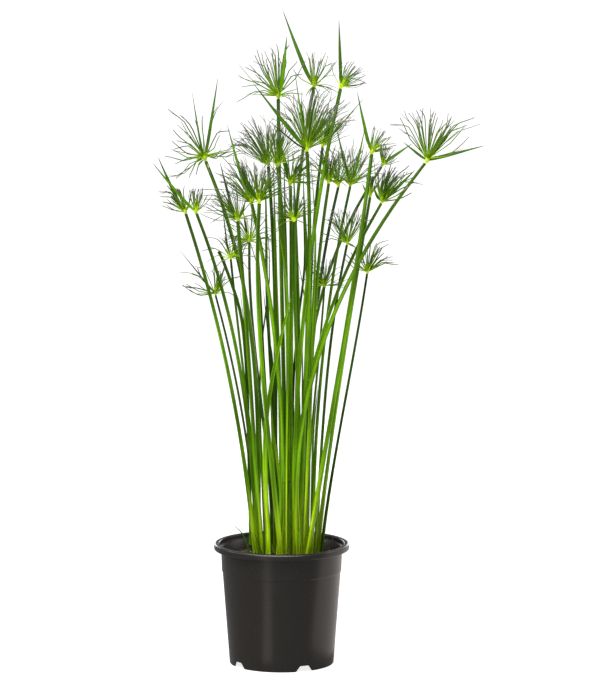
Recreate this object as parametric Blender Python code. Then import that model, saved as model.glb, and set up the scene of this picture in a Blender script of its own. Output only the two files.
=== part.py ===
"""A dwarf papyrus growing in a round plastic nursery pot.

Sizes below are in millimetres and the finished meshes are in metres, with +Z up and +Y away
from the viewer. The origin is the middle of the pot's foot, on the surface it stands on.
The plant is a clump of culms (bare green stems), and each culm carries an umbel: a knot of
leafy blades with thin rays standing up out of it.
"""

import math
import random
from collections import namedtuple

import bmesh
import bpy
import numpy as np
from mathutils import Matrix, Vector
from mathutils.bvhtree import BVHTree
from mathutils.geometry import intersect_ray_tri

METRES_PER_MM = 0.001
TOUCH_GAP = 0.3
MERGE_DISTANCE = 0.01
SMOOTH_ANGLE = 35

# Pot, a wall of one thickness turned about Z
POT_SIDES = 32
POT_HEIGHT = 153.0
RIM_RADIUS = 85.0
RIM_INNER_RADIUS = 78.4
LIP_HEIGHT = 8.0
LIP_EDGE = 1.4
LIP_ROUND = 2.2
LIP_SHOULDER = 3.0
COLLAR_TOP_RADIUS = 76.1
COLLAR_FOOT_RADIUS = 75.2
COLLAR_FOOT_HEIGHT = 118.0
COLLAR_STEP = 0.8
BASE_RADIUS = 65.5
WALL = 1.6
FLOOR_UNDERSIDE = 8.0
FLOOR_THICKNESS = 2.2
CENTRE_PAD_RADIUS = 15.0
CENTRE_PAD_SLOPE = 1.5

# Notches in the foot, seen from above and counted from the front towards +X
NOTCH_ANGLES = (26, 125, 206, 305)
NOTCH_FOOT_WIDTH = 24.0
NOTCH_TOP_WIDTH = 12.0
NOTCH_HEIGHT = 7.4
NOTCH_DEPTH = 10.0
DRAIN_COUNT = 8
DRAIN_RADIUS = 4.0
DRAIN_CIRCLE = 48.0
DRAIN_SIDES = 10
CUTTER_OVERRUN = 1.0

# Soil
SOIL_TOP = 135.0
SOIL_DIP = 2.4
SOIL_RINGS = (18, 42, 66)
SOIL_SIDES = 24
SOIL_SIDE_GAP = 0.8

# Culms, with turns in radians
FOOT_GAP = 0.6
CULM_SIDES = 6
CULM_RINGS = 7
FOOT_FLARE = 1.25
TOP_TAPER = 0.78
FLAT_SIDE = 0.84
CULM_TURN = 1.9
WAIST_LEAN = 0.8
CULM_CLEARANCE = 0.8
DEPTH_TRIES = (0, 3, -3, 6, -6, 9, -9, 12, -12, 16, -16, 20, -20)
SHOOT_SPLIT = 0.3
SHOOT_POINT = 4

# Umbels, with hubs sized by their culm's radius, and in degrees but for the turn between hubs
HUB_RADIUS = 1.45
SPIKE_CLEARANCE = 0.5
RAY_RADIUS = 0.7
SLEEVE_LENGTH = 5.0
SLEEVE_RADIUS = 0.95
BLADE_THICKNESS = 0.6
BLADE_STEPS = 4
HUB_LEAVE = 3.0
FOLD_LIMIT = math.radians(174)
BLADE_FACES = 4
HUB_FACE_REACH = 5.6
HUB_TURN = 0.83
COARSE_HUB_RAYS = 10
CULM_PULL = 0.3
RAY_SEED = 100
RAY_TRIES = 60
RAY_TURN_STEP = 0.55
RAY_SHORTENING = 0.006
RAY_SPREAD_POWER = 1.2
RAY_KNEE = 0.55
RAY_BEND = 0.18
BLADE_TRIES = DEPTH_TRIES + (26, -26, 32, -32)
BLADE_FACING = Vector((0, -1, 0.5)).normalized()
BLADE_TAPER = 0.55
BLADE_RISE = 5.0
BLADE_KNEE = 0.3
BLADE_FOOT_SLOPE = 0.25

Culm = namedtuple("Culm", "name foot bends head radius")
Umbel = namedtuple("Umbel", "reach spread face rays blades")
Shoot = namedtuple("Shoot", "beside path radii pointed")

# Each culm runs through foot (x, y), two bends (x, height) and head (x, y, height). Each umbel has
# rays as long as its reach that spread about the way it faces, and blades with tips measured
# from its hub as (x, y, height, half width).
PLANT = (
    (Culm("a", (-32, -35), ((-51, 289), (-80, 434)), (-120, -10, 574), 2.9),
     Umbel(32, 72, (-0.5, 0, 1), 8, ((-34, 4, 69, 2.3),))),
    (Culm("b", (-31, -18), ((-40, 290), (-63, 436)), (-106, -34, 577), 2.8),
     Umbel(30, 65, (0.1, 0, 1), 8, ((-54, -8, 62, 2.1),))),
    (Culm("c", (-31, 8), ((-30, 311), (-47, 476)), (-96, 30, 636), 3.2),
     Umbel(58, 115, (-0.3, 0.2, 1), 12, ((17, 8, 102, 2.1), (-16, 14, 83, 1.3)))),
    (Culm("d", (5, 16), ((3, 337), (-1, 528)), (-4, 40, 713), 3.1),
     Umbel(64, 85, (-0.15, 0, 1), 12, ((11, -8, 77, 3.0), (-32, 18, 0, 1.0)))),
    (Culm("e", (20, 31), ((13, 341), (16, 535)), (41, 70, 724), 2.7),
     Umbel(44, 75, (0.1, 0, 1), 10, ((-40, 5, 95, 2.7),))),
    (Culm("f", (24, -11), ((29, 318), (35, 490)), (32, -60, 657), 3.1),
     Umbel(78, 55, (0.4, -0.1, 1), 14,
           ((-67, -10, 83, 2.6), (-51, -25, 44, 1.3), (-16, -22, 103, 1.3)))),
    (Culm("g", (30, 24), ((34, 314), (37, 483)), (52, 90, 646), 2.6),
     Umbel(36, 75, (0.3, 0.1, 1), 7, ((53, 10, 60, 1.3),))),
    (Culm("h", (17, -20), ((20, 344), (39, 541)), (74, -30, 732), 3.1),
     Umbel(36, 68, (0.8, 0, 1), 9, ((-3, -6, 84, 2.2),))),
    (Culm("i", (31, -46), ((61, 317), (89, 488)), (112, -60, 654), 3.1),
     Umbel(32, 72, (0.6, 0, 1), 8, ((-19, -8, 76, 2.1),))),
    (Culm("j", (34, 38), ((28, 306), (52, 467)), (127, 60, 624), 2.6),
     Umbel(26, 75, (0.2, 0.1, 1), 7, ((38, 5, 26, 2.2),))),
    (Culm("k", (8, -16), ((22, 294), (58, 444)), (125, -40, 590), 2.8),
     Umbel(52, 72, (0.5, -0.1, 1), 10, ((41, -10, 40, 2.5), (-11, 0, 19, 1.8)))),
    (Culm("l", (44, 18), ((64, 294), (87, 445)), (111, 20, 591), 2.6),
     Umbel(26, 75, (0.2, 0.1, 1), 6, ((-10, 6, 14, 1.3),))),
    (Culm("m", (38, -8), ((44, 300), (59, 455)), (86, 5, 606), 2.4),
     Umbel(52, 82, (0.25, 0, 1), 9, ((-19, -6, 77, 1.7), (18, -12, 72, 1.7)))),
    (Culm("n", (31, 0), ((35, 302), (42, 460)), (59, -30, 613), 2.7),
     Umbel(42, 80, (0.3, -0.1, 1), 8, ((-9, -8, 36, 1.7),))),
    (Culm("o", (23, 44), ((32, 296), (45, 447)), (72, 100, 594), 2.5),
     Umbel(44, 80, (0.2, 0.2, 1), 7, ((-7, 8, 32, 1.6),))),
    (Culm("p", (42, -21), ((50, 275), (61, 406)), (82, -10, 534), 2.2),
     Umbel(48, 78, (0, 0, 1), 8, ((11, -6, -5, 1.4),))),
    (Culm("q", (31, 12), ((35, 255), (45, 369)), (54, 8, 478), 1.8),
     Umbel(36, 88, (0, 0, 1), 7, ((-11, 4, 12, 1.1),))),
    (Culm("r", (50, 30), ((68, 260), (89, 377)), (108, 40, 491), 2.1),
     Umbel(42, 88, (0.2, 0, 1), 7, ((19, -4, 32, 1.0),))),
    (Culm("s", (23, -37), ((26, 313), (78, 480)), (180, -50, 642), 3.2),
     Umbel(67, 78, (0.1, 0, 1), 14, ((72, -6, 19, 2.3), (-30, 10, 22, 1.8)))),
    (Culm("t", (-4, -30), ((1, 295), (-11, 445)), (-37, -50, 591), 3.1),
     Umbel(58, 76, (-0.5, 0, 1), 10, ((-30, -6, 97, 2.2),))),
    (Culm("u", (0, -46), ((-16, 296), (-28, 448)), (-27, -78, 595), 3.2),
     Umbel(46, 76, (0.1, -0.1, 1), 8, ((-22, -8, 39, 2.6), (34, -14, 20, 1.3)))),
    (Culm("v", (-8, 29), ((-8, 307), (-9, 469)), (-17, 60, 626), 3.0),
     Umbel(64, 74, (-0.5, 0.1, 1), 10, ((0, 6, 51, 2.0),))),
    (Culm("w", (4, 0), ((8, 309), (6, 473)), (-5, -10, 633), 3.2),
     Umbel(50, 76, (0.2, 0, 1), 8, ((8, -8, 45, 1.8),))),
    (Culm("x", (14, 10), ((11, 300), (12, 456)), (11, 20, 606), 3.0),
     Umbel(44, 78, (0.3, 0, 1), 7, ((-14, 4, 55, 2.9),))),
    (Culm("y", (15, -5), ((22, 285), (18, 427)), (16, -15, 564), 3.1),
     Umbel(34, 80, (0, 0, 1), 8, ((5, -4, 30, 2.0),))),
    (Culm("z", (-24, -29), ((-34, 287), (-43, 430)), (-54, -45, 569), 3.0),
     Umbel(48, 82, (-0.5, 0, 1), 9, ((-22, -6, 72, 2.0), (10, -8, 25, 1.9)))),
    (Culm("aa", (-26, -5), ((-36, 269), (-50, 395)), (-63, -20, 517), 2.0),
     Umbel(26, 80, (-0.2, 0, 1), 6, ((-11, 4, 78, 1.0),))),
    (Culm("bb", (-30, 20), ((-40, 251), (-58, 360)), (-83, 22, 466), 1.9),
     Umbel(44, 95, (-0.2, 0, 1), 8, ((-45, 4, 55, 1.0),))),
    (Culm("cc", (-11, 40), ((-20, 271), (-35, 399)), (-41, 92, 524), 2.4),
     Umbel(44, 85, (-0.1, 0.1, 1), 8, ((-8, 6, 40, 1.4),))),
)

# Side shoots that rise from the foot of a culm: path points are (x, y, height), and the radii
# are those of the first and the last. A pointed one is a young leaf, and a blunt one is an old
# culm that was cut or lost its head.
SHOOTS = (
    Shoot("c", ((-39, 14, 150), (-44, 12, 380), (-55, 11, 467), (-84, 10, 533)), (2.5, 2.0), False),
    Shoot("z", ((-16, -39, 150), (-21, -43, 250), (-19, -47, 318), (-11, -51, 374), (4, -56, 442),
                (11, -58, 468)), (3.3, 1.6), True),
    Shoot("t", ((-12, -24, 146), (-18, -26, 212)), (1.8, 1.6), False),
    Shoot("k", ((9, -29, 146), (10, -32, 248)), (2.1, 1.8), False),
    Shoot("s", ((13, -44, 146), (18, -47, 164), (25, -50, 184)), (2.0, 1.5), True),
    Shoot("l", ((53, 12, 144), (60, 7, 163)), (2.0, 1.6), True),
    Shoot("e", ((12, 26, 150), (14, 24, 344), (19, 22, 420), (29, 21, 490), (28, 20, 577)),
          (1.9, 1.5), False),
    Shoot("v", ((-12, 18, 150), (-16, 18, 281), (-23, 18, 395), (-27, 18, 483), (-30, 18, 520)),
          (1.7, 1.3), False),
)

PLASTIC = ("pot_plastic", (0.024, 0.021, 0.018), 0.38)
SOIL = ("potting_soil", (0.030, 0.020, 0.012), 0.95)
CULM_GREEN = ("culm_green", (0.105, 0.260, 0.010), 0.45)
UMBEL_GREEN = ("umbel_green", (0.230, 0.480, 0.012), 0.50)


def clear_scene():
    for thing in list(bpy.data.objects):
        bpy.data.objects.remove(thing, do_unlink=True)


def make_material(name, colour, roughness):
    material = bpy.data.materials.new(name)
    material.use_nodes = True
    shader = material.node_tree.nodes["Principled BSDF"]
    shader.inputs["Base Color"].default_value = (*colour, 1.0)
    shader.inputs["Roughness"].default_value = roughness
    shader.inputs["Metallic"].default_value = 0.0
    return material


def make_object(name, bm, material):
    """Turn a mesh drawn in millimetres into an object in metres with its faces pointing out."""
    bmesh.ops.recalc_face_normals(bm, faces=bm.faces[:])
    bmesh.ops.scale(bm, vec=(METRES_PER_MM,) * 3, verts=bm.verts[:])
    mesh = bpy.data.meshes.new(name)
    bm.to_mesh(mesh)
    bm.free()
    mesh.shade_smooth()
    mesh.set_sharp_from_angle(angle=math.radians(SMOOTH_ANGLE))
    mesh.materials.append(material)
    thing = bpy.data.objects.new(name, mesh)
    bpy.context.scene.collection.objects.link(thing)
    return thing


# Pot

def outer_radius(height):
    """Outside of the tapered wall below the collar."""
    share = height / COLLAR_FOOT_HEIGHT
    return BASE_RADIUS + (COLLAR_FOOT_RADIUS - COLLAR_STEP - BASE_RADIUS) * share


def inner_radius(height):
    return outer_radius(height) - WALL


def pot_profile():
    """Radius and height round the wall, from the middle of the pad's underside outwards."""
    floor_top = FLOOR_UNDERSIDE + FLOOR_THICKNESS
    lip_foot = POT_HEIGHT - LIP_HEIGHT
    return (
        (0, 0),
        (CENTRE_PAD_RADIUS, 0),
        (CENTRE_PAD_RADIUS + CENTRE_PAD_SLOPE, FLOOR_UNDERSIDE),
        (inner_radius(FLOOR_UNDERSIDE), FLOOR_UNDERSIDE),
        (inner_radius(0), 0),
        (BASE_RADIUS, 0),
        (outer_radius(COLLAR_FOOT_HEIGHT), COLLAR_FOOT_HEIGHT),
        (COLLAR_FOOT_RADIUS, COLLAR_FOOT_HEIGHT + COLLAR_STEP),
        (COLLAR_TOP_RADIUS, lip_foot),
        (RIM_RADIUS - LIP_EDGE, lip_foot),
        (RIM_RADIUS, lip_foot + LIP_EDGE),
        (RIM_RADIUS, POT_HEIGHT - LIP_SHOULDER),
        (RIM_RADIUS - LIP_ROUND, POT_HEIGHT),
        (RIM_INNER_RADIUS + LIP_EDGE, POT_HEIGHT),
        (RIM_INNER_RADIUS, POT_HEIGHT - LIP_ROUND),
        (RIM_INNER_RADIUS - LIP_EDGE / 2, lip_foot + LIP_ROUND),
        (COLLAR_FOOT_RADIUS, lip_foot + LIP_EDGE),
        (COLLAR_FOOT_RADIUS - WALL, COLLAR_FOOT_HEIGHT),
        (inner_radius(floor_top), floor_top),
        (0, floor_top),
    )


def turned_solid(profile, sides):
    """Spin a profile that starts and ends on the Z axis into one closed body."""
    bm = bmesh.new()
    points = [bm.verts.new((radius, 0, height)) for radius, height in profile]
    edges = [bm.edges.new(pair) for pair in zip(points, points[1:])]
    bmesh.ops.spin(
        bm, geom=points + edges, cent=(0, 0, 0), axis=(0, 0, 1),
        angle=math.tau, steps=sides, use_merge=True,
    )
    bmesh.ops.remove_doubles(bm, verts=bm.verts[:], dist=MERGE_DISTANCE)
    return bm


def turned_about_z(angle_from_front):
    """Turn that takes +X to the direction at this angle from the front, towards +X."""
    return Matrix.Rotation(math.radians(angle_from_front - 90), 4, "Z")


def notch_cutter(bm, angle):
    """A wedge through the foot ring, wide at the ground and narrow at its top."""
    made = bmesh.ops.create_cube(bm, size=1)["verts"]
    for vert in made:
        at_top = vert.co.z > 0
        width = NOTCH_TOP_WIDTH if at_top else NOTCH_FOOT_WIDTH
        vert.co.x = BASE_RADIUS + vert.co.x * NOTCH_DEPTH
        vert.co.y *= width
        vert.co.z = NOTCH_HEIGHT if at_top else -CUTTER_OVERRUN
    bmesh.ops.transform(bm, verts=made, matrix=turned_about_z(angle))


def drain_cutter(bm, angle):
    """A short cylinder through the floor, on the circle of the drain holes."""
    middle = Matrix.Translation((DRAIN_CIRCLE, 0, FLOOR_UNDERSIDE + FLOOR_THICKNESS / 2))
    bmesh.ops.create_cone(
        bm, cap_ends=True, segments=DRAIN_SIDES, radius1=DRAIN_RADIUS, radius2=DRAIN_RADIUS,
        depth=FLOOR_THICKNESS + 4 * CUTTER_OVERRUN, matrix=turned_about_z(angle) @ middle,
    )


def build_pot():
    pot = make_object("pot", turned_solid(pot_profile(), POT_SIDES), make_material(*PLASTIC))
    bm = bmesh.new()
    for angle in NOTCH_ANGLES:
        notch_cutter(bm, angle)
    for number in range(DRAIN_COUNT):
        drain_cutter(bm, 360 * number / DRAIN_COUNT)
    cutter = make_object("pot_cutter", bm, pot.data.materials[0])
    cutter.hide_render = True
    cutter.display_type = "WIRE"
    cut = pot.modifiers.new("notches_and_drains", "BOOLEAN")
    cut.operation = "DIFFERENCE"
    cut.object = cutter


# Soil

def soil_height(x, y):
    """Gently uneven surface that the culms stand out of."""
    waves = math.sin(x * 0.11 + 0.7) + math.sin(y * 0.13 + 2.1) + math.sin((x - y) * 0.07)
    return SOIL_TOP - SOIL_DIP * (0.5 + waves / 6)


def build_soil():
    floor = FLOOR_UNDERSIDE + FLOOR_THICKNESS + TOUCH_GAP
    shoulder = COLLAR_FOOT_HEIGHT
    side = [
        (0, floor),
        (inner_radius(floor) - SOIL_SIDE_GAP, floor),
        (inner_radius(shoulder) - SOIL_SIDE_GAP, shoulder),
        (COLLAR_FOOT_RADIUS - WALL - SOIL_SIDE_GAP, SOIL_TOP - SOIL_DIP),
    ]
    top = [(radius, SOIL_TOP) for radius in reversed(SOIL_RINGS)] + [(0, SOIL_TOP)]
    bm = turned_solid(side + top, SOIL_SIDES)
    for vert in bm.verts:
        if vert.co.z > SOIL_TOP - MERGE_DISTANCE:
            vert.co.z = soil_height(vert.co.x, vert.co.y)
    make_object("soil", bm, make_material(*SOIL))


# Clearance between the growing parts

class Thicket:
    """Every stretch of culm, blade and ray placed so far, as straight capsules."""

    def __init__(self):
        self.starts = np.zeros((0, 3))
        self.ends = np.zeros((0, 3))
        self.radii = np.zeros(0)
        self.owners = np.zeros(0, dtype=int)

    def add(self, path, radii, owner):
        path = np.array([tuple(point) for point in path])
        self.starts = np.vstack([self.starts, path[:-1]])
        self.ends = np.vstack([self.ends, path[1:]])
        self.radii = np.append(self.radii, radii)
        self.owners = np.append(self.owners, [owner] * (len(path) - 1))

    def room(self, path, radii, owner=None):
        """Least free space round a path. An owner's own hub doesn't count."""
        if not len(self.starts):
            return math.inf
        path = np.array([tuple(point) for point in path])
        starts, ends = path[:-1, None], path[1:, None]
        free = segment_gaps(starts, ends, self.starts[None], self.ends[None])
        free = free - np.array(radii)[:, None] - self.radii[None]
        short = np.linalg.norm(self.ends - self.starts, axis=1) <= TOUCH_GAP + MERGE_DISTANCE
        free[:, short & (self.owners == owner)] = math.inf
        return free.min()


def segment_gaps(start_a, end_a, start_b, end_b):
    """Distances between straight stretches, each given by its two ends."""
    run_a = end_a - start_a
    run_b = end_b - start_b
    offset = start_a - start_b
    aa = (run_a * run_a).sum(-1)
    bb = (run_b * run_b).sum(-1)
    ab = (run_a * run_b).sum(-1)
    a_offset = (run_a * offset).sum(-1)
    b_offset = (run_b * offset).sum(-1)
    spread = np.maximum(aa * bb - ab * ab, 1e-9)
    along_a = np.clip((ab * b_offset - a_offset * bb) / spread, 0, 1)
    along_b = np.clip((ab * along_a + b_offset) / bb, 0, 1)
    along_a = np.clip((ab * along_b - a_offset) / aa, 0, 1)
    between = offset + run_a * along_a[..., None] - run_b * along_b[..., None]
    return np.linalg.norm(between, axis=-1)


# Culms

def curve_through(places, height):
    """Value at a height on the even curve through places, each a (value, height) pair."""
    total = 0.0
    for value, own in places:
        share = 1.0
        for _, other in places:
            if other != own:
                share *= (height - other) / (own - other)
        total += value * share
    return total


def culm_path(culm, waist_shift, head_shift):
    """Points up a culm and the middle of its hub. The shifts sway it forwards or back."""
    low = Vector((*culm.foot, soil_height(*culm.foot) + FOOT_GAP))
    high = Vector(culm.head) + Vector((0, head_shift, 0))
    waist = (low.z + high.z) / 2
    depth = low.y + (high.y - low.y) * WAIST_LEAN / 2 + waist_shift
    sideways = ((low.x, low.z), *culm.bends, (high.x, high.z))
    inwards = ((low.y, low.z), (depth, waist), (high.y, high.z))
    top = high.z - hub_radius(culm) - TOUCH_GAP
    heights = [low.z + (top - low.z) * k / CULM_RINGS for k in range(CULM_RINGS + 1)]
    path = [Vector((curve_through(sideways, z), curve_through(inwards, z), z)) for z in heights]
    return path, high


def hub_radius(culm):
    return HUB_RADIUS * culm.radius


def culm_radii(culm, count):
    """The culm swells at its foot and narrows towards its head."""
    radii = []
    for k in range(count):
        share = k / (count - 1)
        flare = (FOOT_FLARE - 1) * max(0, 1 - share * 3)
        radii.append(culm.radius * (1 + flare - (1 - TOP_TAPER) * share))
    return radii


def route_culm(culm, thicket, owner):
    """Sway the culm forwards or back until it clears every culm before it."""
    radii = culm_radii(culm, CULM_RINGS + 1)
    best = None
    for waist_shift in DEPTH_TRIES:
        for head_shift in DEPTH_TRIES:
            path, hub = culm_path(culm, waist_shift, head_shift)
            room = thicket.room(path, radii[:-1])
            effort = abs(waist_shift) + 0.5 * abs(head_shift)
            rank = (min(room, CULM_CLEARANCE), -effort)
            if best is None or rank > best[0]:
                best = (rank, path, hub)
    _, path, hub = best
    thicket.add(path, radii[:-1], owner)
    return path, hub, radii


def frame_across(direction, towards):
    """Two unit vectors across a direction, the second leaning towards a given one."""
    side = towards.cross(direction)
    if side.length < 1e-6:
        side = Vector((1, 0, 0)).cross(direction)
    side.normalize()
    return side, direction.cross(side).normalized()


def path_directions(path):
    last = len(path) - 1
    return [(path[min(k + 1, last)] - path[max(k - 1, 0)]).normalized() for k in range(last + 1)]


def three_sided(centre, side, front, radius, spin):
    """Corners of a blunt triangle, the section of a papyrus culm."""
    corners = []
    for k in range(CULM_SIDES):
        angle = spin + math.tau * k / CULM_SIDES
        reach = radius * (FLAT_SIDE if k % 2 else 1.0)
        corners.append(centre + side * (math.cos(angle) * reach) + front * (math.sin(angle) * reach))
    return corners


def move_face(face, corners):
    """Set a face's corners in order, starting where they travel least."""
    count = len(corners)
    verts = face.verts[:]

    def travel(start):
        return sum((vert.co - corners[(k + start) % count]).length for k, vert in enumerate(verts))

    start = min(range(count), key=travel)
    for k, vert in enumerate(verts):
        vert.co = corners[(k + start) % count]


def push_face(bm, face, corners):
    """Extrude one face and set its corners at the next section."""
    face = bmesh.ops.extrude_discrete_faces(bm, faces=[face])["faces"][0]
    move_face(face, corners)
    return face


def close_to_point(bm, face, tip):
    face = bmesh.ops.extrude_discrete_faces(bm, faces=[face])["faces"][0]
    bmesh.ops.pointmerge(bm, verts=face.verts[:], merge_co=tip)


def build_culm_mesh(path, radii, spin):
    bm = bmesh.new()
    bmesh.ops.create_circle(bm, cap_ends=True, segments=CULM_SIDES, radius=radii[0])
    face = bm.faces[:][0]
    if face.normal.z < 0:
        face.normal_flip()
    flat = Vector((0, 1, 0))
    for k, (centre, direction) in enumerate(zip(path, path_directions(path))):
        if k in (0, len(path) - 1):
            direction = Vector((0, 0, 1))
        side, front = frame_across(direction, flat)
        corners = three_sided(centre, side, front, radii[k], spin)
        if k == 0:
            move_face(face, corners)
            lid = face
        else:
            lid = push_face(bm, lid, corners)
    close_foot(bm)
    return bm


def close_foot(bm):
    """Put the flat end back on the foot, where the first face was pushed away."""
    edges = [edge for edge in bm.edges if edge.is_boundary]
    if edges:
        bmesh.ops.contextual_create(bm, geom=edges)


def four_sided(centre, side, front, radius):
    return [centre + across * radius for across in (side, front, -side, -front)]


def add_shoot(bm, shoot, thicket, owner):
    """Grow a side shoot out of the lowest stretch of a culm's skin."""
    path = [Vector(point) for point in shoot.path]
    bm.faces.ensure_lookup_table()
    bm.normal_update()
    walls = [face for face in bm.faces if len(face.verts) == 4 and abs(face.normal.z) < 0.5]
    walls.sort(key=lambda face: face.calc_center_median().z)
    around = walls[:CULM_SIDES]
    middle = sum((face.calc_center_median() for face in around), Vector()) / CULM_SIDES
    outward = path[0] - middle
    outward.z = 0
    outward.normalize()
    lid = split_low(bm, max(around, key=lambda wall: wall.normal.dot(outward)))
    first, last = shoot.radii
    thick = [first + (last - first) * k / (len(path) - 1) for k in range(len(path))]
    directions = path_directions(path)
    for centre, direction, radius in zip(path, directions, thick):
        side, front = frame_across(direction, outward)
        lid = push_face(bm, lid, four_sided(centre, side, front, radius))
    if shoot.pointed:
        close_to_point(bm, lid, path[-1] + directions[-1] * first * SHOOT_POINT)
    thicket.add(path, thick[:-1], owner)


def split_low(bm, face):
    """Cut a culm's lowest wall across, a little over its foot, and give back the lower part."""
    uprights = [edge for edge in face.edges if abs(edge.verts[0].co.z - edge.verts[1].co.z) > 10]
    cuts = []
    for edge in uprights:
        low = min(edge.verts, key=lambda vert: vert.co.z)
        cuts.append(bmesh.utils.edge_split(edge, low, SHOOT_SPLIT)[1])
    return bmesh.utils.face_split(face, cuts[0], cuts[1])[0]


# Umbels

def spike_section(face_centre, first_corner, centre, direction, radius):
    """Three corners round a ray, turned so that its skin doesn't twist."""
    side, front = frame_across(direction, first_corner - face_centre)
    corners = []
    for k in range(3):
        angle = math.pi / 2 + math.tau * k / 3
        corners.append(centre + (side * math.cos(angle) + front * math.sin(angle)) * radius)
    return corners


def ray_path(hub, start, direction, reach, axis):
    """A ray leaves its hub and bends in a little towards the umbel's axis."""
    sleeve_end = hub + direction * ((start - hub).length + SLEEVE_LENGTH)
    tip = hub + (direction + axis * RAY_BEND).normalized() * reach
    return [start, sleeve_end, hub + direction * (reach * RAY_KNEE), tip]


def try_rays(hub, face_centre, direction, umbel, axis, generator):
    """Paths for one ray, from the wished one to ones turned and shortened."""
    side, front = frame_across(direction, axis)
    for k in range(RAY_TRIES):
        slope = math.tan(math.radians(RAY_TURN_STEP * k))
        angle = generator.uniform(0, math.tau)
        turned = direction + (side * math.cos(angle) + front * math.sin(angle)) * slope
        reach = umbel.reach * (1 - RAY_SHORTENING * k) * generator.uniform(0.94, 1.0)
        yield ray_path(hub, face_centre, turned.normalized(), reach, axis)


def leave_hub(path):
    """The stretch of a ray or blade that has to be clear, which starts a little off its hub."""
    return [path[0] + (path[1] - path[0]).normalized() * HUB_LEAVE] + path[1:]


def blade_path(hub, start, tip):
    """A blade leaves its hub along the skin's normal and arches over to its tip."""
    outward = (start - hub).normalized()
    knee = hub + outward * BLADE_RISE + (tip - hub) * BLADE_KNEE
    points = [start]
    for k in range(1, BLADE_STEPS + 1):
        t = k / BLADE_STEPS
        points.append(start * (1 - t) ** 2 + knee * (2 * t * (1 - t)) + tip * t ** 2)
    return points


def blade_widths(half_width):
    """Half widths at the start of each stretch of a blade, which narrows towards its tip."""
    return [half_width * (1 - BLADE_TAPER * (k / BLADE_STEPS) ** 2) for k in range(BLADE_STEPS)]


def grow_blade(bm, face, path, widths):
    """A keeled leaf: flat above, ridged below, and tapering to a point."""
    directions = path_directions(path)
    for centre, direction, width in list(zip(path, directions, widths))[1:]:
        side, front = frame_across(direction, BLADE_FACING)
        keel = centre - front * (width * BLADE_THICKNESS)
        face = push_face(bm, face, [centre + side * width, centre - side * width, keel])
    close_to_point(bm, face, path[-1])


def grow_ray(bm, face, path):
    centre = face.calc_center_median()
    corner = face.verts[0].co.copy()
    directions = path_directions(path)
    for k, radius in ((1, SLEEVE_RADIUS), (2, RAY_RADIUS)):
        section = spike_section(centre, corner, path[k], directions[k], radius)
        face = push_face(bm, face, section)
    close_to_point(bm, face, path[-1])


def triangles_cross(one, other):
    """True if two triangles of a skin cross. Those along one edge never do."""
    shared = set(one.verts) & set(other.verts)
    if len(shared) != 1:
        return not shared
    for near, far in ((one, other), (other, one)):
        start, end = (vert.co for vert in near.verts if vert not in shared)
        corners = [vert.co for vert in far.verts]
        hit = intersect_ray_tri(*corners, end - start, start, True)
        if hit is not None and (hit - end).dot(start - end) > 0:
            return True
    return False


def grows_clear(bm, face, grow, path, *sizes):
    """Try a spike on a copy of its head, and see if the skin stays free of crossings and folds."""
    bm.faces.index_update()
    trial = bm.copy()
    trial.faces.ensure_lookup_table()
    grow(trial, trial.faces[face.index], path, *sizes)
    bmesh.ops.triangulate(trial, faces=trial.faces[:])
    trial.faces.ensure_lookup_table()
    trial.normal_update()
    tree = BVHTree.FromBMesh(trial)
    pairs = [pair for pair in tree.overlap(tree) if pair[0] < pair[1]]
    crossed = any(triangles_cross(trial.faces[one], trial.faces[other]) for one, other in pairs)
    folded = any(edge.calc_face_angle(0) > FOLD_LIMIT for edge in trial.edges)
    trial.free()
    return not crossed and not folded


def place_blades(bm, hub, blades, thicket, owner):
    """Give each blade a face low on the hub, and sway its tip in depth until it is clear."""
    for x, y, height, half_width in blades:
        wished = Vector((x, y, height))
        low_side = Vector((x, y, min(height, BLADE_FOOT_SLOPE * wished.length))).normalized()
        faces = sorted(hub_faces(bm, hub), key=lambda item: -outward_from(hub, item).dot(low_side))
        widths = blade_widths(half_width)
        tries = []
        for order, face in enumerate(faces[:BLADE_FACES]):
            for shift in BLADE_TRIES:
                path = blade_path(hub, face.calc_center_median(), hub + wished + Vector((0, shift, 0)))
                room = thicket.room(leave_hub(path), widths, owner)
                tries.append((-min(room, SPIKE_CLEARANCE), order, abs(shift), len(tries), face, path))
        tries.sort(key=lambda item: item[:4])
        clear = (item for item in tries if grows_clear(bm, item[4], grow_blade, item[5], widths))
        *_, face, path = next(clear, tries[0])
        grow_blade(bm, face, path, widths)
        thicket.add(leave_hub(path), widths, owner)


def outward_from(hub, face):
    return (face.calc_center_median() - hub).normalized()


def hub_faces(bm, hub):
    """Faces of the hub's own skin that nothing grows from yet."""
    free = []
    for face in bm.faces:
        reach = max((vert.co - hub).length for vert in face.verts)
        if len(face.verts) == 3 and reach < HUB_FACE_REACH:
            free.append(face)
    return free


def place_rays(bm, hub, umbel, axis, thicket, owner, generator):
    """Push rays out of the hub's upper faces, the outermost leaning as far as the spread."""
    lean = {face: axis.angle(outward_from(hub, face)) for face in hub_faces(bm, hub)}
    chosen = sorted(lean, key=lambda face: lean[face])[:umbel.rays]
    widest = max(lean[face] for face in chosen)
    for face in chosen:
        start = face.calc_center_median()
        front = frame_across(axis, outward_from(hub, face))[1]
        wanted = math.radians(umbel.spread) * (lean[face] / widest) ** RAY_SPREAD_POWER
        wanted *= generator.uniform(0.8, 1.0)
        direction = axis * math.cos(wanted) + front * math.sin(wanted)
        for path in try_rays(hub, start, direction, umbel, axis, generator):
            radii = [SLEEVE_RADIUS, SLEEVE_RADIUS, RAY_RADIUS]
            if (thicket.room(leave_hub(path), radii, owner) >= SPIKE_CLEARANCE
                    and grows_clear(bm, face, grow_ray, path)):
                grow_ray(bm, face, path)
                thicket.add(leave_hub(path), radii, owner)
                break


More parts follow.
